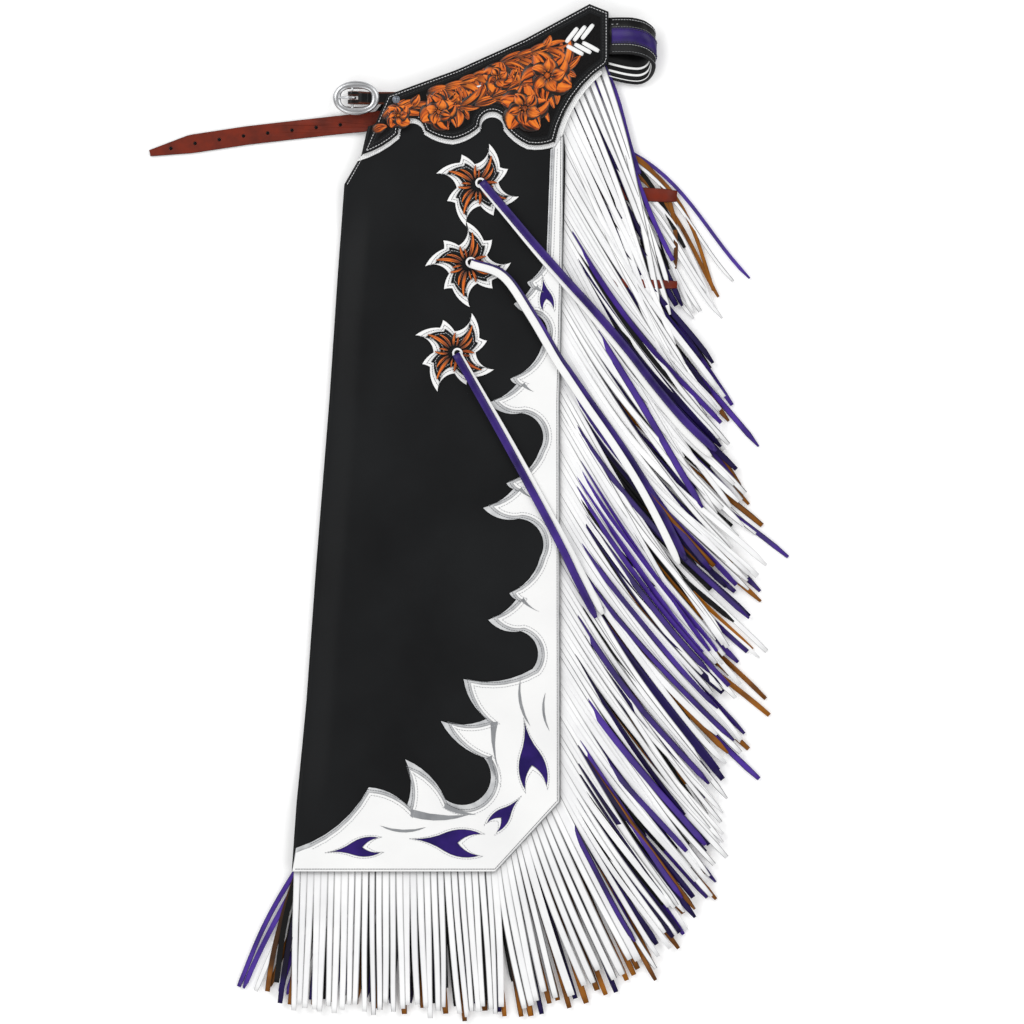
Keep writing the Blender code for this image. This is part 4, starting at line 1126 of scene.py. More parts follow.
def makeYoke():
    rows, piped, inset = yoke["rows"], yoke["piped"], yoke["panelInset"]
    bottom, low = layers["yoke"], layers["overLeg"]
    top = bottom + yoke["thickness"]
    edge = outline(rows)
    loops = [edge, circleLoop(*yoke["rivet"], yoke["rivetHole"])]
    platePiece("yokePanel", loops, bottom, yoke["thickness"], 0.8, "black", ["yoke"])
    panel = offsetLoop(edge, inset)
    away = distanceTo(*panel.T, edge, np.roll(edge, -1, axis=0) - edge)
    panel = panel[away > inset * 0.93]
    panel = panel[insideLoop(*panel.T, edge)]
    # The beaten ground is a thin skin set just proud of the panel.
    platePiece("yokeGround", [panel], top - 0.2, 0.3, 0.1, "ground")
    sew(withHeight(offsetLoop(edge, yoke["whiteSeam"]), top), "whiteThread", True)
    sew(withHeight(offsetLoop(edge, yoke["blackSeam"]), top), "blackThread", True)
    outer = movedOut(rows, yoke["pipingMargin"] - 0.7)[:piped]
    hidden = movedOut(rows, -yoke["pipingHidden"])[:piped]
    back = [(*hidden[i][:2], -hidden[i - 1][2] if i else 0.0) for i in range(piped - 1, -1, -1)]
    loops = [outline([*outer[:-1], (*outer[-1][:2], 0.0), *back])]
    platePiece("yokePiping", loops, low, yoke["piping"], 0.7, "white", ["yoke_piping"])
    trim = outline(movedOut(rows, yoke["pipingMargin"] - 2.6))[: len(outline(rows[:piped])) - 1]
    sew(withHeight(trim, low + yoke["piping"]), "whiteThread", pitch=2.3, slant=0.9, size=1.7)
    # A white binding follows the yoke's wing edge, over the roots of the fringe.
    binding = yoke["binding"]
    path = withHeight(arcPoints(*binding["ends"], binding["bulge"], 6), low + 0.9)
    path -= levelAcross(path) * binding["inset"]
    sweepPiece("wingBinding", path, (binding["width"], yoke["piping"]), "strap", "white")
    sew(path + [0, 0, 0.8], "whiteThread", pitch=2.5, slant=0.9, size=1.7)
    makeTooling(panel)
    makeLacing()


makeYoke()
print("yoke carved")

# rosettes

rosette = {
    "places": [(17, 340, 8), (7, 257, 26), (-7, 165, 0)],
    "radius": 44.0,
    "arms": 4,
    "arm": [(0.00, 0.50, 0.14), (0.22, 0.82, -0.10), (0.34, 0.68, 0.20), (0.74, 1.02, -0.40)],
    "leather": 1.2,
    "step": 1.5,
    "starInset": 5.2,
    "seams": [
        # inset, thread, pitch
        (2.9, "greyThread", 2.6), (7.6, "paleThread", 2.9),
    ],
    "flame": [
        # share of the arm's turn, length, width, bend
        (0.62, 28, 5.4, 34), (0.40, 19, 4.2, 52), (0.10, 15, 4.0, -30), (0.86, 11, 3.0, 30),
    ],
    "flameStart": 6,
    "flameHeight": 1.6,
    "rings": [
        # round each pair of strings: title, radius, width and thickness, height, finish
        ("Loop", 4.4, (2.4, 1.6), 0.4, "white"), ("Hole", 1.8, (3.4, 0.5), -0.2, "blackStrand"),
    ],
}


def pinwheel(x, y, turn):
    rows = []
    for arm in range(rosette["arms"]):
        for share, reach, bulge in rosette["arm"]:
            angle = math.radians(turn) + math.tau * (arm + share) / rosette["arms"]
            far = rosette["radius"] * reach
            rows.append((x + far * math.cos(angle), y + far * math.sin(angle), bulge))
    return rows


# Silver pinwheel, black pinwheel and a carved flame of petals in each arm.
def makeRosettes():
    low, thick = layers["overLeg"], rosette["leather"]
    middle = low + rosette["step"]
    seat = strings["seats"]["rosette"]
    step = 360 / rosette["arms"]
    for number, (x, y, turn) in enumerate(rosette["places"], 1):
        name, node = f"rosette{number}", f"rosette_{number}_"
        rows = pinwheel(x, y, turn)
        loops, inner = [outline(rows)], [outline(movedOut(rows, -rosette["starInset"]))]
        platePiece(
            name + "Backing", loops, low, thick, 0.4, "white", [node + "base"], "silver_leather"
        )
        platePiece(name + "Star", inner, middle, thick, 0.4, "black", [node + "middle"])
        for base, (inset, thread, pitch) in zip((low, middle), rosette["seams"]):
            line = withHeight(outline(movedOut(rows, -inset)), base + thick)
            sew(line, thread, True, pitch=pitch)
        arm = turn + step * np.arange(rosette["arms"])
        groups = []
        for share, length, width, bend in rosette["flame"]:
            way = np.radians(arm + step * share)
            rootX = x + np.cos(way) * rosette["flameStart"]
            rootY = y + np.sin(way) * rosette["flameStart"]
            heading = arm + step * share - 8
            size = (length, width, bend, middle + thick, rosette["flameHeight"])
            groups.append(carvedLeaves(rootX, rootY, heading, *size))
        points, faces, values = joined(groups)
        addPiece(name + "Flame", points, faces, "tooled", [node + "top"], values)
        # The strings come up through the centre, inside a loop of white lace.
        start, following = (np.array(row[:2], float) for row in strings["routes"][number - 1][:2])
        way = math.atan2(*(following - start)[::-1])
        turns = way + np.radians(np.linspace(42, 318, 22))
        # The black ring inside the loop is painted shade in the hole.
        for title, reach, size, rise, finish in rosette["rings"]:
            ring = start + reach * np.column_stack([np.cos(turns), np.sin(turns)])
            path = withHeight(ring, seat + rise)
            sweepPiece(f"string{title}{number}", path, size, "round", finish)


makeRosettes()
print("rosettes set")

# fringe

fringe = {
    "seed": 21,
    "leather": 1.1,
    "steps": 20,
    "rootDepth": 2.8,
    "clump": (4, 10),  # strands in a clump, up to one less than the second
    "gather": (0.5, 1.25),  # degrees between neighbours in a clump
    "clumpTurn": 3.6,
    "clumpLimits": (-6, 5),
    "turnLimits": (-10, 5),
    "lengths": (-1.8, 1, 0.06),  # shortest, longest, and what both are multiplied by
    "bow": 5.0,  # degrees of each strand's own bend, and of its double bend
    "doubleBow": 3.5,
    "free": 70,  # distance from the root over which a strand comes to lift and lean
    "clumpLift": 1.2,
    "bowLift": 0.7,
    "above": 3.1,  # over the white ones' underside, for those that come up
    "risenStart": (0.0, 0.35),
    "risenSpan": 0.3,
    "lean": 13,  # degrees, of all alike, each one's own, and of those that come up
    "ownLean": 12,
    "risenLean": 16,
    "widest": 1.04,
    "widthSpread": 0.22,
    "strayWidth": 0.74,
    "shades": (0, 0.8),
    "plainEnd": 105,  # no strand comes up nearer to the waist than this
    "paleBefore": 600,
    "sections": {
        # distance along the edge, leaving angle, tip angle, length
        "white": [
            (0, -70, -73, 236), (60, -65, -62, 282), (120, -61, -53, 308), (280, -61, -47, 330),
            (500, -60, -49, 304), (640, -59, -53, 282), (740, -60, -57, 222), (800, -65, -62, 186),
            (895, -85, -84, 152), (1000, -90, -89, 150), (1104, -92, -92, 149),
        ],
        "purple": [
            (0, -66, -66, 226), (110, -60, -54, 280), (300, -57, -45, 294), (500, -56, -48, 276),
            (640, -57, -52, 262), (740, -58, -56, 218), (800, -66, -62, 182), (895, -87, -84, 147),
            (1104, -108, -100, 140),
        ],
        "brown": [
            (300, -52, -46, 270), (500, -52, -49, 252), (640, -54, -52, 246), (740, -57, -56, 232),
            (800, -62, -61, 204), (895, -83, -82, 162), (1000, -93, -91, 149),
            (1104, -112, -100, 140),
        ],
        "underFringe": [
            (0, -24, -70, 250), (90, -40, -60, 285), (300, -50, -43, 316), (500, -48, -45, 294),
            (640, -52, -50, 278), (740, -56, -56, 230), (800, -60, -62, 184), (895, -84, -84, 148),
            (1104, -123, -116, 138),
        ],
    },
    "combs": [
        # node, colours, layer, first, last, pitch, width, unruliness, share that comes up over
        # the white strands
        ("fringe_white_top", "whiteFringe", "white", 6, 254, 8.2, 6.7, 1.3, 0),
        ("fringe_white_middle", "whiteFringe", "white", 262, 513, 9.0, 7.0, 1.3, 0),
        ("fringe_white_lower", "whiteFringe", "white", 522, 786, 9.0, 6.6, 1.1, 0),
        ("fringe_white_corner", "whiteFringe", "white", 794, 886, 7.6, 7.9, 0.45, 0),
        ("fringe_white_hem", "whiteFringe", "white", 893, 1100, 7.2, 7.6, 0.42, 0),
        ("fringe_purple_upper", "purple purple blackStrand", "purple", 40, 410, 10, 7.2, 1.3, 0.34),
        ("fringe_purple_lower", "purple purple blackStrand", "purple", 425, 786, 9, 7.2, 1.1, 0.46),
        (
            "fringe_purple_hem", "purple blackStrand blackStrand", "purple", 900, 1098, 9, 6.6, 0.5,
            0,
        ),
        ("fringe_brown_side", "brown blackStrand blackStrand", "brown", 330, 786, 9, 6.6, 1.1, 0.2),
        ("fringe_brown_corner", "brown brown brown deepPurple", "brown", 796, 886, 7, 6.6, 0.5, 0),
        ("fringe_brown_hem", "brown blackStrand", "brown", 900, 1098, 9, 6.4, 0.5, 0),
        (
            "under_fringe_upper", "purple blackStrand whiteFringe blackStrand brown",
            "underFringe", 150, 334, 8, 6.6, 1.1, 0,
        ),
        (
            "under_fringe_lower", "purple blackStrand whiteFringe blackStrand brown",
            "underFringe", 345, 786, 8, 6.6, 1.1, 0,
        ),
        (
            "under_fringe_hem",
            "deepPurple blackStrand " * 12 + "purple brown whiteFringe purple " * 4,
            "underFringe", 801, 1100, 8.3, 6.0, 0.6, 0,
        ),
    ],
    # White strands part here: distance along the edge, degrees, span.
    "partings": [(890, 5.5, 26), (948, 5.5, 14), (1004, 2.0, 14), (845, 2.0, 14)],
    "strays": {
        # colour, distance along the edge, leaving, middle and tip angles, length
        "under_fringe_upper": [
            ("purple", 98, 6, -42, -46, 246), ("whiteFringe", 101, 4, -44, -48, 240),
            ("blackStrand", 99, 6, -44, -60, 232), ("brown", 102, 5, -44, -92, 226),
            ("brown", 104, 4, -44, -72, 246), ("blackStrand", 107, 3, -46, -112, 230),
            ("brown", 110, 1, -46, -60, 240), ("blackStrand", 108, 1, -50, -68, 236),
            ("blackStrand", 114, -2, -54, -72, 240), ("whiteFringe", 118, -2, -46, -54, 240),
            ("whiteFringe", 121, -3, -44, -66, 232), ("whiteFringe", 127, -7, -50, -62, 240),
            ("whiteFringe", 124, -5, -49, -50, 236), ("whiteFringe", 131, -9, -48, -56, 244),
            ("whiteFringe", 138, -12, -52, -50, 246), ("purple", 144, -16, -58, -62, 240),
        ],
        "fringe_purple_upper": [
            ("purple", 4, -60, -76, -68, 122), ("purple", 20, -58, -70, -62, 214),
        ],
    },
}
dice = np.random.default_rng(fringe["seed"])


# Strands gather in clumps of four to nine: a turn shared by the clump, one that brings its
# strands together at the tips, and the clump's own level.
def clumpShifts(count, unruly):
    turn, level = np.zeros(count), np.zeros(count)
    first = 0
    while first < count:
        size = int(dice.integers(*fringe["clump"]))
        members = np.arange(first, min(first + size, count))
        gather = dice.uniform(*fringe["gather"]) * unruly
        shared = np.clip(dice.normal(0, fringe["clumpTurn"] * unruly), *fringe["clumpLimits"])
        turn[members] = shared + (members - members.mean()) * gather
        level[members] = dice.uniform(0, 1)
        first += size
    return turn, level


# Each strand's heading eases from its leaving angle over its middle one to its tip angle,
# with its clump's turn and a slow wave of its own; its height falls with the distance from
# the panels' edge. Over is its chance to come up over the white ones, and those from held on
# keep their course.
def strandPaths(places, angles, length, bottom, unruly, over, held):
    count = len(places)
    turn, level = clumpShifts(count, unruly)
    turn = np.clip(turn, *fringe["turnLimits"])
    if bottom == layers["white"]:
        for middle, degrees, span in fringe["partings"]:
            aside = (places - middle) / span
            turn -= degrees * np.sign(aside) * np.exp(-np.abs(aside))
    turn[held:] = 0
    least, most, ragged = fringe["lengths"]
    swell = 0.02 * np.sin(0.21 * places)
    length = length * (1 + swell + dice.uniform(least, most, count) * (ragged * unruly))
    t = np.linspace(0, 1, fringe["steps"])
    bow = np.sin(np.pi * t)
    wave = dice.uniform(-1, 1, (2, count, 1)) * unruly
    wave[:, held:] *= 0.25
    leave, middle, tip = (angles[:, k : k + 1] for k in range(3))
    angle = leave + (tip - leave) * ease(t) + (middle - (leave + tip) / 2) * bow
    angle = angle + turn[:, None] * t
    angle += fringe["bow"] * wave[0] * bow * t
    angle += fringe["doubleBow"] * wave[1] * np.sin(2 * np.pi * t) * t
    root = edgePoint(places) + edgeInward(places) * fringe["rootDepth"]
    x, y = walked(*root.T, np.radians(angle), length[:, None] / (fringe["steps"] - 1))
    out = ease(t * length[:, None] / fringe["free"])
    level = level[:, None]
    lift = (level * fringe["clumpLift"] + fringe["bowLift"] * np.abs(wave[0]) * bow) * out
    z = bottom + fringe["leather"] / 2 + lift * min(1, unruly + 0.3) - sunk(x, y)
    # Some come up through the strands above them, from a place of their own.
    risen = dice.uniform(0, 1, (count, 1)) < over
    risen[2:] &= ~(risen[1:-1] & risen[:-2])  # two side by side at most
    start = dice.uniform(*fringe["risenStart"], (count, 1))
    above = layers["white"] + fringe["above"] + level * 0.5 - sunk(x, y)
    z = z + np.maximum(above - z, 0) * risen * ease((t - start) / fringe["risenSpan"])
    return np.stack([x, y, z], axis=-1), out, risen


def makeComb(node, colours, layer, first, last, pitch, width, unruly, over):
    colours = colours.split()
    short = unruly <= 0.5
    held = round((last - first) / pitch) + 1
    places = np.linspace(first, last, held)
    table = np.array(fringe["sections"][layer], float)
    leave, tip, length = (np.interp(places, table[:, 0], table[:, k]) for k in (1, 2, 3))
    angles = np.stack([leave, (leave + tip) / 2, tip], axis=1)
    hues = [colours[k % len(colours)] for k in range(held)]
    for colour, place, *headings, reach in fringe["strays"].get(node, []):
        hues.append(colour)
        places = np.append(places, place)
        angles = np.vstack([angles, headings])
        length = np.append(length, reach)
    count = len(places)
    # Black strands are painted shade in the gaps: they are a little shorter and never come up.
    plain = np.array([hue == "blackStrand" for hue in hues])
    length = length * np.where(plain, 0.92 if short else 0.8, 1.0)
    chance = np.where(plain | (places < fringe["plainEnd"]), 0, over)[:, None]
    paths, out, risen = strandPaths(places, angles, length, layers[layer], unruly, chance, held)
    own = unruly * dice.uniform(-1, 1, (count, 1))
    lean = fringe["lean"] * min(1, unruly + 0.2) + fringe["ownLean"] * own
    lean = np.radians(lean + fringe["risenLean"] * risen) * out
    across = tilted(levelAcross(paths), lean[..., None])
    narrower = fringe["widthSpread"] * dice.uniform(0, 1, (count, 1))
    widths = width * (fringe["widest"] - narrower)
    widths[held:] *= fringe["strayWidth"]
    # Those that fan out round the corner were cut wider towards their ends.
    taper = 1.04 if node == "fringe_white_corner" else 0.80 if unruly < 0.5 else 0.96
    widths = widths * np.linspace(1, taper, fringe["steps"])
    widths[:, -1] *= dice.uniform(0.85 if short else 0.3, 0.95, count)  # slanting cut
    lowest = fringe["leather"] / 2 + widths / 2 * np.abs(np.sin(lean))
    paths[..., 2] = np.maximum(paths[..., 2], lowest + 0.1)
    points, faces, shares = sweep(paths, widths, fringe["leather"], "edged", across)
    shade = dice.uniform(*fringe["shades"], (count, 1, 1))
    # Cut edges are darkened on strands at random, on the white ones near black: partly the cut
    # edges' own colour, partly painted shade lines between neighbouring strands.
    worn = dice.uniform(0, 1, (count, 1, 1)) * (np.abs(shares["across"]) > 0.45)
    # In the short combs the lower layers are painted dark but for their tips: painted shade beneath
    # the strands above them.
    if short and layer != "white":
        worn = np.maximum(worn, 0.85 * ease((0.86 - shares["along"]) / 0.1))
    # Purple ones that stay below take the darker copy of the purple, painted shade, and so does
    # every other one towards the hem.
    if layer == "purple":
        number = np.arange(count)
        below = ~risen[:, 0] | ((places > fringe["paleBefore"]) & (number % 2 == 1))
        below &= number < held
        hues = ["deepPurple" if hue == "purple" and low else hue for hue, low in zip(hues, below)]
    finish = list(dict.fromkeys(hues))
    values = {"shade": np.broadcast_to(shade, points.shape[:3]), "edge": worn}
    piece = addPiece(pieceName(node), points, faces, finish, [node], values)
    if len(finish) > 1:
        strand = faces[:, 0] // points[0, ..., 0].size
        choice = np.array([finish.index(hue) for hue in hues])
        piece.data.polygons.foreach_set("material_index", choice[strand])
    return len(faces)


print("fringe cut:", sum(makeComb(*row) for row in fringe["combs"]), "faces")

# belt, billet and leg straps

upAcross = (0.0, 1.0, 0.0)  # for what runs from side to side
belt = {
    "width": 38.5,
    "thickness": 4.0,
    "stripeWidth": 16.0,
    "stripeThickness": 1.2,
    "stripeSpan": slice(12, 57),
    "seams": [
        # offset along Y, thread, height above the belt's middle
        (-16.6, "greyThread", 2.1), (16.6, "paleThread", 2.1), (-9.2, "paleThread", 2.1),
        (9.2, "greyThread", 2.1), (-6.9, "blackThread", 3.4), (6.9, "blackThread", 3.4),
    ],
    "weltSpan": slice(12, 84),
    "weltDepth": 2.5,
    "knots": (12, 16),  # points of the path with one stitch each beside the stripe
    "welts": [(-3.0, 2.4), (-10.0, 2.4), (-16.0, 1.0)],  # offset along Y, width
    "path": [
        # x, y, z of its middle
        (121, 496, 11.7), (152, 496, 11.7), (166, 496, 14.6), (180, 495, 18.2), (193, 491, 18.4),
        (201, 483, 13.6), (198, 472, 7.6), (189, 466, 5.0), (176, 466, 4.8), (158, 470, 4.8),
        (141, 475, 4.8),
    ],
}
billet = {
    "thickness": 2.6,
    "width": 19.5,
    "rows": [
        # x, y, height of its underside, share of its width
        (-72, 411, 2.8, 1.0), (-104, 406, 2.8, 1.0), (-122, 404.5, 2.0, 1.0),
        (-142, 402.5, 0.5, 1.0), (-160, 400.5, 0.0, 1.0), (-225, 393, 0.0, 1.0),
        (-284, 384, 0.0, 1.0), (-322, 375.5, 0.0, 0.42), (-327, 374.5, 0.0, 0.34),
    ],
    "holes": 8,
    "pitch": 25.4,
    "firstHole": -127.0,
    "hole": 3.4,
}


def makeBelt():
    path = smoothLine(belt["path"], 9)
    size = (belt["width"], belt["thickness"])
    sweepPiece("backBelt", path, size, "belt", "blackStrap", ["back_belt"], upAcross)
    ways = np.gradient(path, axis=0)
    out = unit(np.stack([-ways[:, 2], np.zeros(len(ways)), ways[:, 0]], axis=1))
    shown = belt["stripeSpan"]
    raised = path + out * (belt["thickness"] / 2 + 0.1 + belt["stripeThickness"] / 2)
    size = (belt["stripeWidth"], belt["stripeThickness"])
    sweepPiece("beltStripe", raised[shown], size, "belt", "purple", ["belt_stripe"], upAcross)
    for offset, thread, height in belt["seams"]:
        line = path + out * height + [0, offset, 0]
        sew(line[shown], thread, up=out[shown], pitch=3.0)
    # Pale welts run round the inner side.
    for number, (offset, width) in enumerate(belt["welts"], 1):
        line = (path - out * belt["weltDepth"] + [0, offset, 0])[belt["weltSpan"]]
        sweepPiece(f"innerWelt{number}", line, (width, 1.2), "strap", "white", (), upAcross)
    for station in belt["knots"]:
        spot = path[station] + out[station] * 2.1 + [0, 12.0, 0]
        sew(np.array([spot, spot + [1.0, 0, 0]]), "whiteThread", size=0.8)


# A column of the billet's rows at that x.
def billetAt(x, column):
    table = np.array(billet["rows"], float)
    return np.interp(-x, -table[:, 0], table[:, column])


# The billet's outline: one side out and the other back.
def billetLoop():
    line = np.array(billet["rows"], float)[:, :2]
    middle = np.vstack([line[:1], resample(line, 4)[0], line[-1:]])
    share = billetAt(middle[:, 0], 3)[:, None]
    side = levelAcross(withHeight(middle, 0))[:, :2] * share * billet["width"] / 2
    return np.vstack([middle + side, (middle - side)[::-1]])


def makeBillet():
    holes = billet["firstHole"] - np.arange(billet["holes"]) * billet["pitch"]
    centres = list(zip(holes, billetAt(holes, 1)))
    radius = billet["hole"] / 2
    loops = [billetLoop(), *(circleLoop(x, y, radius, 20) for x, y in centres)]
    points, faces, edges, flat = plateArrays(loops, 0, billet["thickness"], 0.7)
    points[:, 2] += billetAt(points[:, 0], 2)
    addPiece("billet", points, faces, "strap", ["billet"], {"edge": edges}, flat)
    # Dark discs at the foot of each punched hole: painted shade in the holes.
    parts, faces, count = [], [], 0
    for x, y in centres:
        foot = float(billetAt(x, 2)) + 0.1
        points, rings, _, _ = plateArrays([circleLoop(x, y, radius - 0.1, 16)], foot, 0.6, 0.2)
        parts.append(points)
        faces += [[corner + count for corner in face] for face in rings]
        count += len(points)
    addPiece("billetHoleShade", np.vstack(parts), faces, "blackStrand", slot="strap_leather")


# Short oiled straps that come out between the fringe layers, rounded at their ends.
def makeLegStraps():
    for node, y, end, width, rise in (
        ("leg_strap_upper", 336, (226, 329), 14.5, 0.9),
        ("leg_strap_lower", 240, (226, 236), 9.5, 4.2),
    ):
        line = smoothLine([(60, y + 2), (float(wingX(y)), y), end], 10)
        risen = 0.9 + (rise - 0.9) * ease((line[:, 0] - 135) / 25)
        path = np.column_stack([line, layers["brown"] + risen - sunk(*line.T)])
        widths = np.full(len(path), width)
        widths[-2:] *= (0.97, 0.8)
        sweepPiece(pieceName(node), path, (widths, 1.8), "strap", "strap", [node])


makeBelt()
makeBillet()
makeLegStraps()
print("straps made")

# buckle

buckle = {
    "centre": (-110, 431),
    "length": 49.0,
    "width": 36.0,
    "rim": 8.6,
    "power": 3.2,
    "bottom": 14.0,
    "thickness": 3.6,
    "barX": -114.0,
    "barWidth": 3.0,
    "tabWidth": 13.0,
    "tabSlot": 4.4,
    "tabLeather": 2.2,
    "tabBottom": 11.5,
    "eye": 2.75,
    "prongSteps": 22,
    "tongue": [
        # x, rise
        (-116, 1.6), (-119, 0.7), (-122, 0.3), (-125, 0.1), (-127.5, 0), (-129.5, -0.1),
    ],
    "prongWidths": [3.0] * 23 + [2.9, 2.7, 2.5, 2.2, 1.5],
    "prongThicknesses": [1.5] * 24 + [1.4, 1.3, 1.2, 0.9],
    "frameSteps": 96,
    "frameSection": [
        # share from the window out, share of the thickness
        (0.04, 0.0), (0.0, 0.12), (0.0, 0.44), (0.03, 0.62), (0.09, 0.76), (0.18, 0.88),
        (0.30, 0.96), (0.42, 1.0), (0.55, 0.99), (0.68, 0.93), (0.80, 0.80), (0.90, 0.62),
        (0.97, 0.40), (1.0, 0.16), (0.96, 0.0),
    ],
    "rivetSteps": 28,
    "rivetShank": [(0.05, 14.0), (1.8, 14.0)],  # radius, height
    "rivetHead": [
        # radius, height above the yoke
        (1.8, 0), (4.2, 0), (4.3, 0.4), (3.9, 1.0), (3.1, 1.15), (2.7, 0.95), (2.2, 1.5),
        (1.2, 1.95), (0.05, 2.0),
    ],
}
barZ = buckle["bottom"] + buckle["thickness"] / 2
frameTop = buckle["bottom"] + buckle["thickness"]


# The rim's section is carried round from the window's squarish oval to the outer ellipse.
def makeFrame():
    x, y = buckle["centre"]
    turn = np.linspace(0, 2 * np.pi, buckle["frameSteps"], endpoint=False)[:, None]
    half = (buckle["length"] / 2, buckle["width"] / 2)
    share, height = np.array(buckle["frameSection"]).T
    sides = []
    for middle, reach, wave in ((x, half[0], np.cos(turn)), (y, half[1], np.sin(turn))):
        inside = np.sign(wave) * np.abs(wave) ** (2 / buckle["power"]) * (reach - buckle["rim"])
        sides.append(middle + inside + (reach * wave - inside) * share)
    level = np.broadcast_to(buckle["bottom"] + buckle["thickness"] * height, sides[0].shape)
    rings = np.stack([*sides, level], axis=-1)
    index = np.arange(rings[..., 0].size).reshape(rings.shape[:2])
    right, down = np.roll(index, -1, axis=1), np.roll(index, -1, axis=0)
    both = np.roll(right, -1, axis=0)
    faces = np.stack([down, both, right, index], axis=-1).reshape(-1, 4)
    reach = half[1] - buckle["rim"] + 2.5
    bar = [(buckle["barX"], y + share * reach, barZ) for share in np.linspace(-1, 1, 7)]
    more, quads, _ = sweep(
        bar, buckle["barWidth"], buckle["thickness"] - 0.6, "round", (1.0, 0.0, 0.0)
    )
    points = np.vstack([rings.reshape(-1, 3), more.reshape(-1, 3)])
    faces = np.vstack([faces, quads + index.size])
    addPiece("buckleFrame", points, faces, "metal", ["buckle_frame"])


# An eye round the bar and a tongue that tapers to the rim.
def makeProng():
    y, steps = buckle["centre"][1], buckle["prongSteps"]
    turns = np.radians(np.linspace(-150, 84, steps))
    middle = buckle["eye"] + 0.8
    tongueX, rise = np.array(buckle["tongue"]).T
    x = np.append(buckle["barX"] + middle * np.cos(turns), tongueX)
    z = np.append(barZ + middle * np.sin(turns), frameTop + gap + 0.8 + rise)
    path = np.column_stack([x, np.full(len(x), y), z])
    size = (buckle["prongWidths"], buckle["prongThicknesses"])
    sweepPiece("prong", path, size, "round", "metal", ["buckle_prong"], upAcross, "prong")


# The tab goes over the bar and is turned back beneath, with a slot for the prong.
def makeTab():
    y, barX, thick = buckle["centre"][1], buckle["barX"], buckle["tabLeather"]
    bottom, width = buckle["bottom"], buckle["tabWidth"]
    clear = thick / 2 + gap
    low = buckle["tabBottom"] + thick / 2
    over = frameTop + clear
    past = barX - buckle["barWidth"] / 2 - clear
    beneath = buckle["tabBottom"] - clear
    rows = [
        (-60, low), (-84, low), (-97, low - 0.1), (-101, low + 2.0), (-105, over - 1.2),
        (-109, over + 0.1), (barX, over + 0.5), (past - 0.4, over - 1.0), (past - 0.2, bottom),
        (barX - 1.4, bottom - clear - 0.7), (-109, beneath + 0.4), (-102, beneath),
        (-87, beneath),
    ]
    line = smoothLine(rows, 6)
    path = np.column_stack([line[:, 0], np.full(len(line), y), line[:, 1]])
    first, last = np.flatnonzero(path[:, 0] < barX + 6.5)[[0, -1]]
    half = (width - buckle["tabSlot"]) / 2
    aside = (buckle["tabSlot"] + half) / 2
    parts = [
        sweep(path[run] + [0, offset, 0], wide, thick, "edged", upAcross)
        for run, offset, wide in (
            (slice(0, first + 1), 0.0, width),
            (slice(first, last + 1), aside, half),
            (slice(first, last + 1), -aside, half),
            (slice(last, None), 0.0, width),
        )
    ]
    points, faces, values = joined(parts)
    edge = (np.abs(values["across"]) > 0.43) * 1.0
    addPiece("buckleTab", points, faces, "blackTab", ["buckle_tab"], {"edge": edge})


# A profile turned round its axis, with the poles closed.
def makeRivet():
    x, y = yoke["rivet"]
    radius, z = np.array(
        buckle["rivetShank"] + [(r, layers["overYoke"] + up) for r, up in buckle["rivetHead"]]
    ).T
    turn = np.linspace(0, 2 * np.pi, buckle["rivetSteps"], endpoint=False)[:, None]
    sides = (x + radius * np.cos(turn), y + radius * np.sin(turn))
    rings = np.stack([*sides, np.broadcast_to(z, sides[0].shape)], axis=-1)
    index = np.arange(rings[..., 0].size).reshape(rings.shape[:2])
    following = np.roll(index, -1, axis=0)
    walls = np.stack([index[:, :-1], following[:, :-1], following[:, 1:], index[:, 1:]], axis=-1)
    faces = [*walls.reshape(-1, 4).tolist(), index[::-1, 0].tolist(), index[:, -1].tolist()]
    addPiece("rivet", rings, faces, "rivetMetal", ["buckle_rivet"])


makeFrame()
makeProng()
makeTab()
makeRivet()
makeThread()
print("buckle and thread made")

# the legs' areas


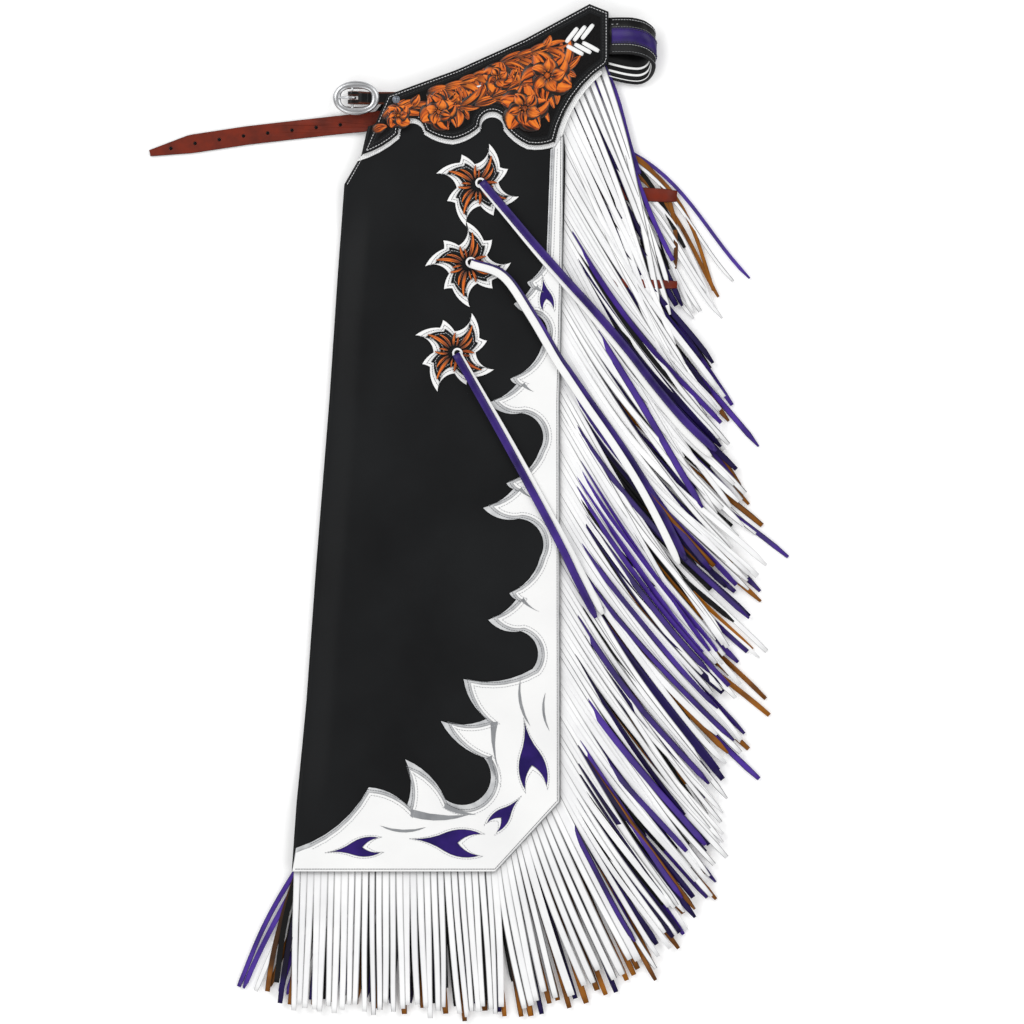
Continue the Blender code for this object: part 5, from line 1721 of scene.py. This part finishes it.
# The area within a leg's outline, in square metres.
def legArea(rows):
    table = np.array(rows, float)
    loop = np.vstack([table[:, [2, 0]], table[::-1, [1, 0]]])
    return round(abs(loopArea(loop)) * mm * mm, 4)


print("sheets declared:", legArea(leg["rows"]), legArea(lowerRows))

# floor and light

studio = {
    "floor": "fafafa",
    "floorSize": 9.0,
    "floorZ": -0.0002,
    "glow": 0.12,
    "world": 0.34,
    "lamps": [
        # x, y, z, size, power
        (-2.0, 1.9, 2.5, 2.2, 58), (2.1, 1.8, 2.4, 2.6, 42), (-2.0, -2.0, 2.4, 2.6, 39),
        (2.1, -2.0, 2.4, 2.6, 38),
    ],
}


# The floor glows faintly from within: painted light that fills in and softens the shadows on it.
def paleTable(tree):
    return {
        "Base Color": linearColour(studio["floor"]),
        "Roughness": 0.9,
        "Emission Color": (1, 1, 1, 1),
        "Emission Strength": studio["glow"],
    }


def makeStudio():
    half = studio["floorSize"] / 2
    mesh = bpy.data.meshes.new("floor")
    corners = [(-half, -half), (half, -half), (half, half), (-half, half)]
    mesh.from_pydata([(*corner, studio["floorZ"]) for corner in corners], [], [(0, 1, 2, 3)])
    floor = bpy.data.objects.new("floor", mesh)
    bpy.context.scene.collection.objects.link(floor)
    mesh.materials.append(newMaterial(paleTable, "paleTable"))
    for number, (x, y, z, size, power) in enumerate(studio["lamps"], 1):
        lamp = bpy.data.objects.new(f"lamp{number}", bpy.data.lights.new(f"lamp{number}", "AREA"))
        lamp.data.size = size
        lamp.data.energy = power
        lamp.location = (x, y, z)
        lamp.rotation_euler = (math.atan2(math.hypot(x, y), z), 0, math.atan2(-y, -x) - math.pi / 2)
        bpy.context.scene.collection.objects.link(lamp)
    world = bpy.data.worlds.new("studio")
    world.use_nodes = True
    settings = {"Color": (1, 1, 1, 1), "Strength": studio["world"]}
    setNode(world.node_tree, world.node_tree.nodes["Background"], settings)
    bpy.context.scene.world = world
    bpy.context.scene.view_settings.view_transform = "Standard"


makeStudio()
print("all pieces made")
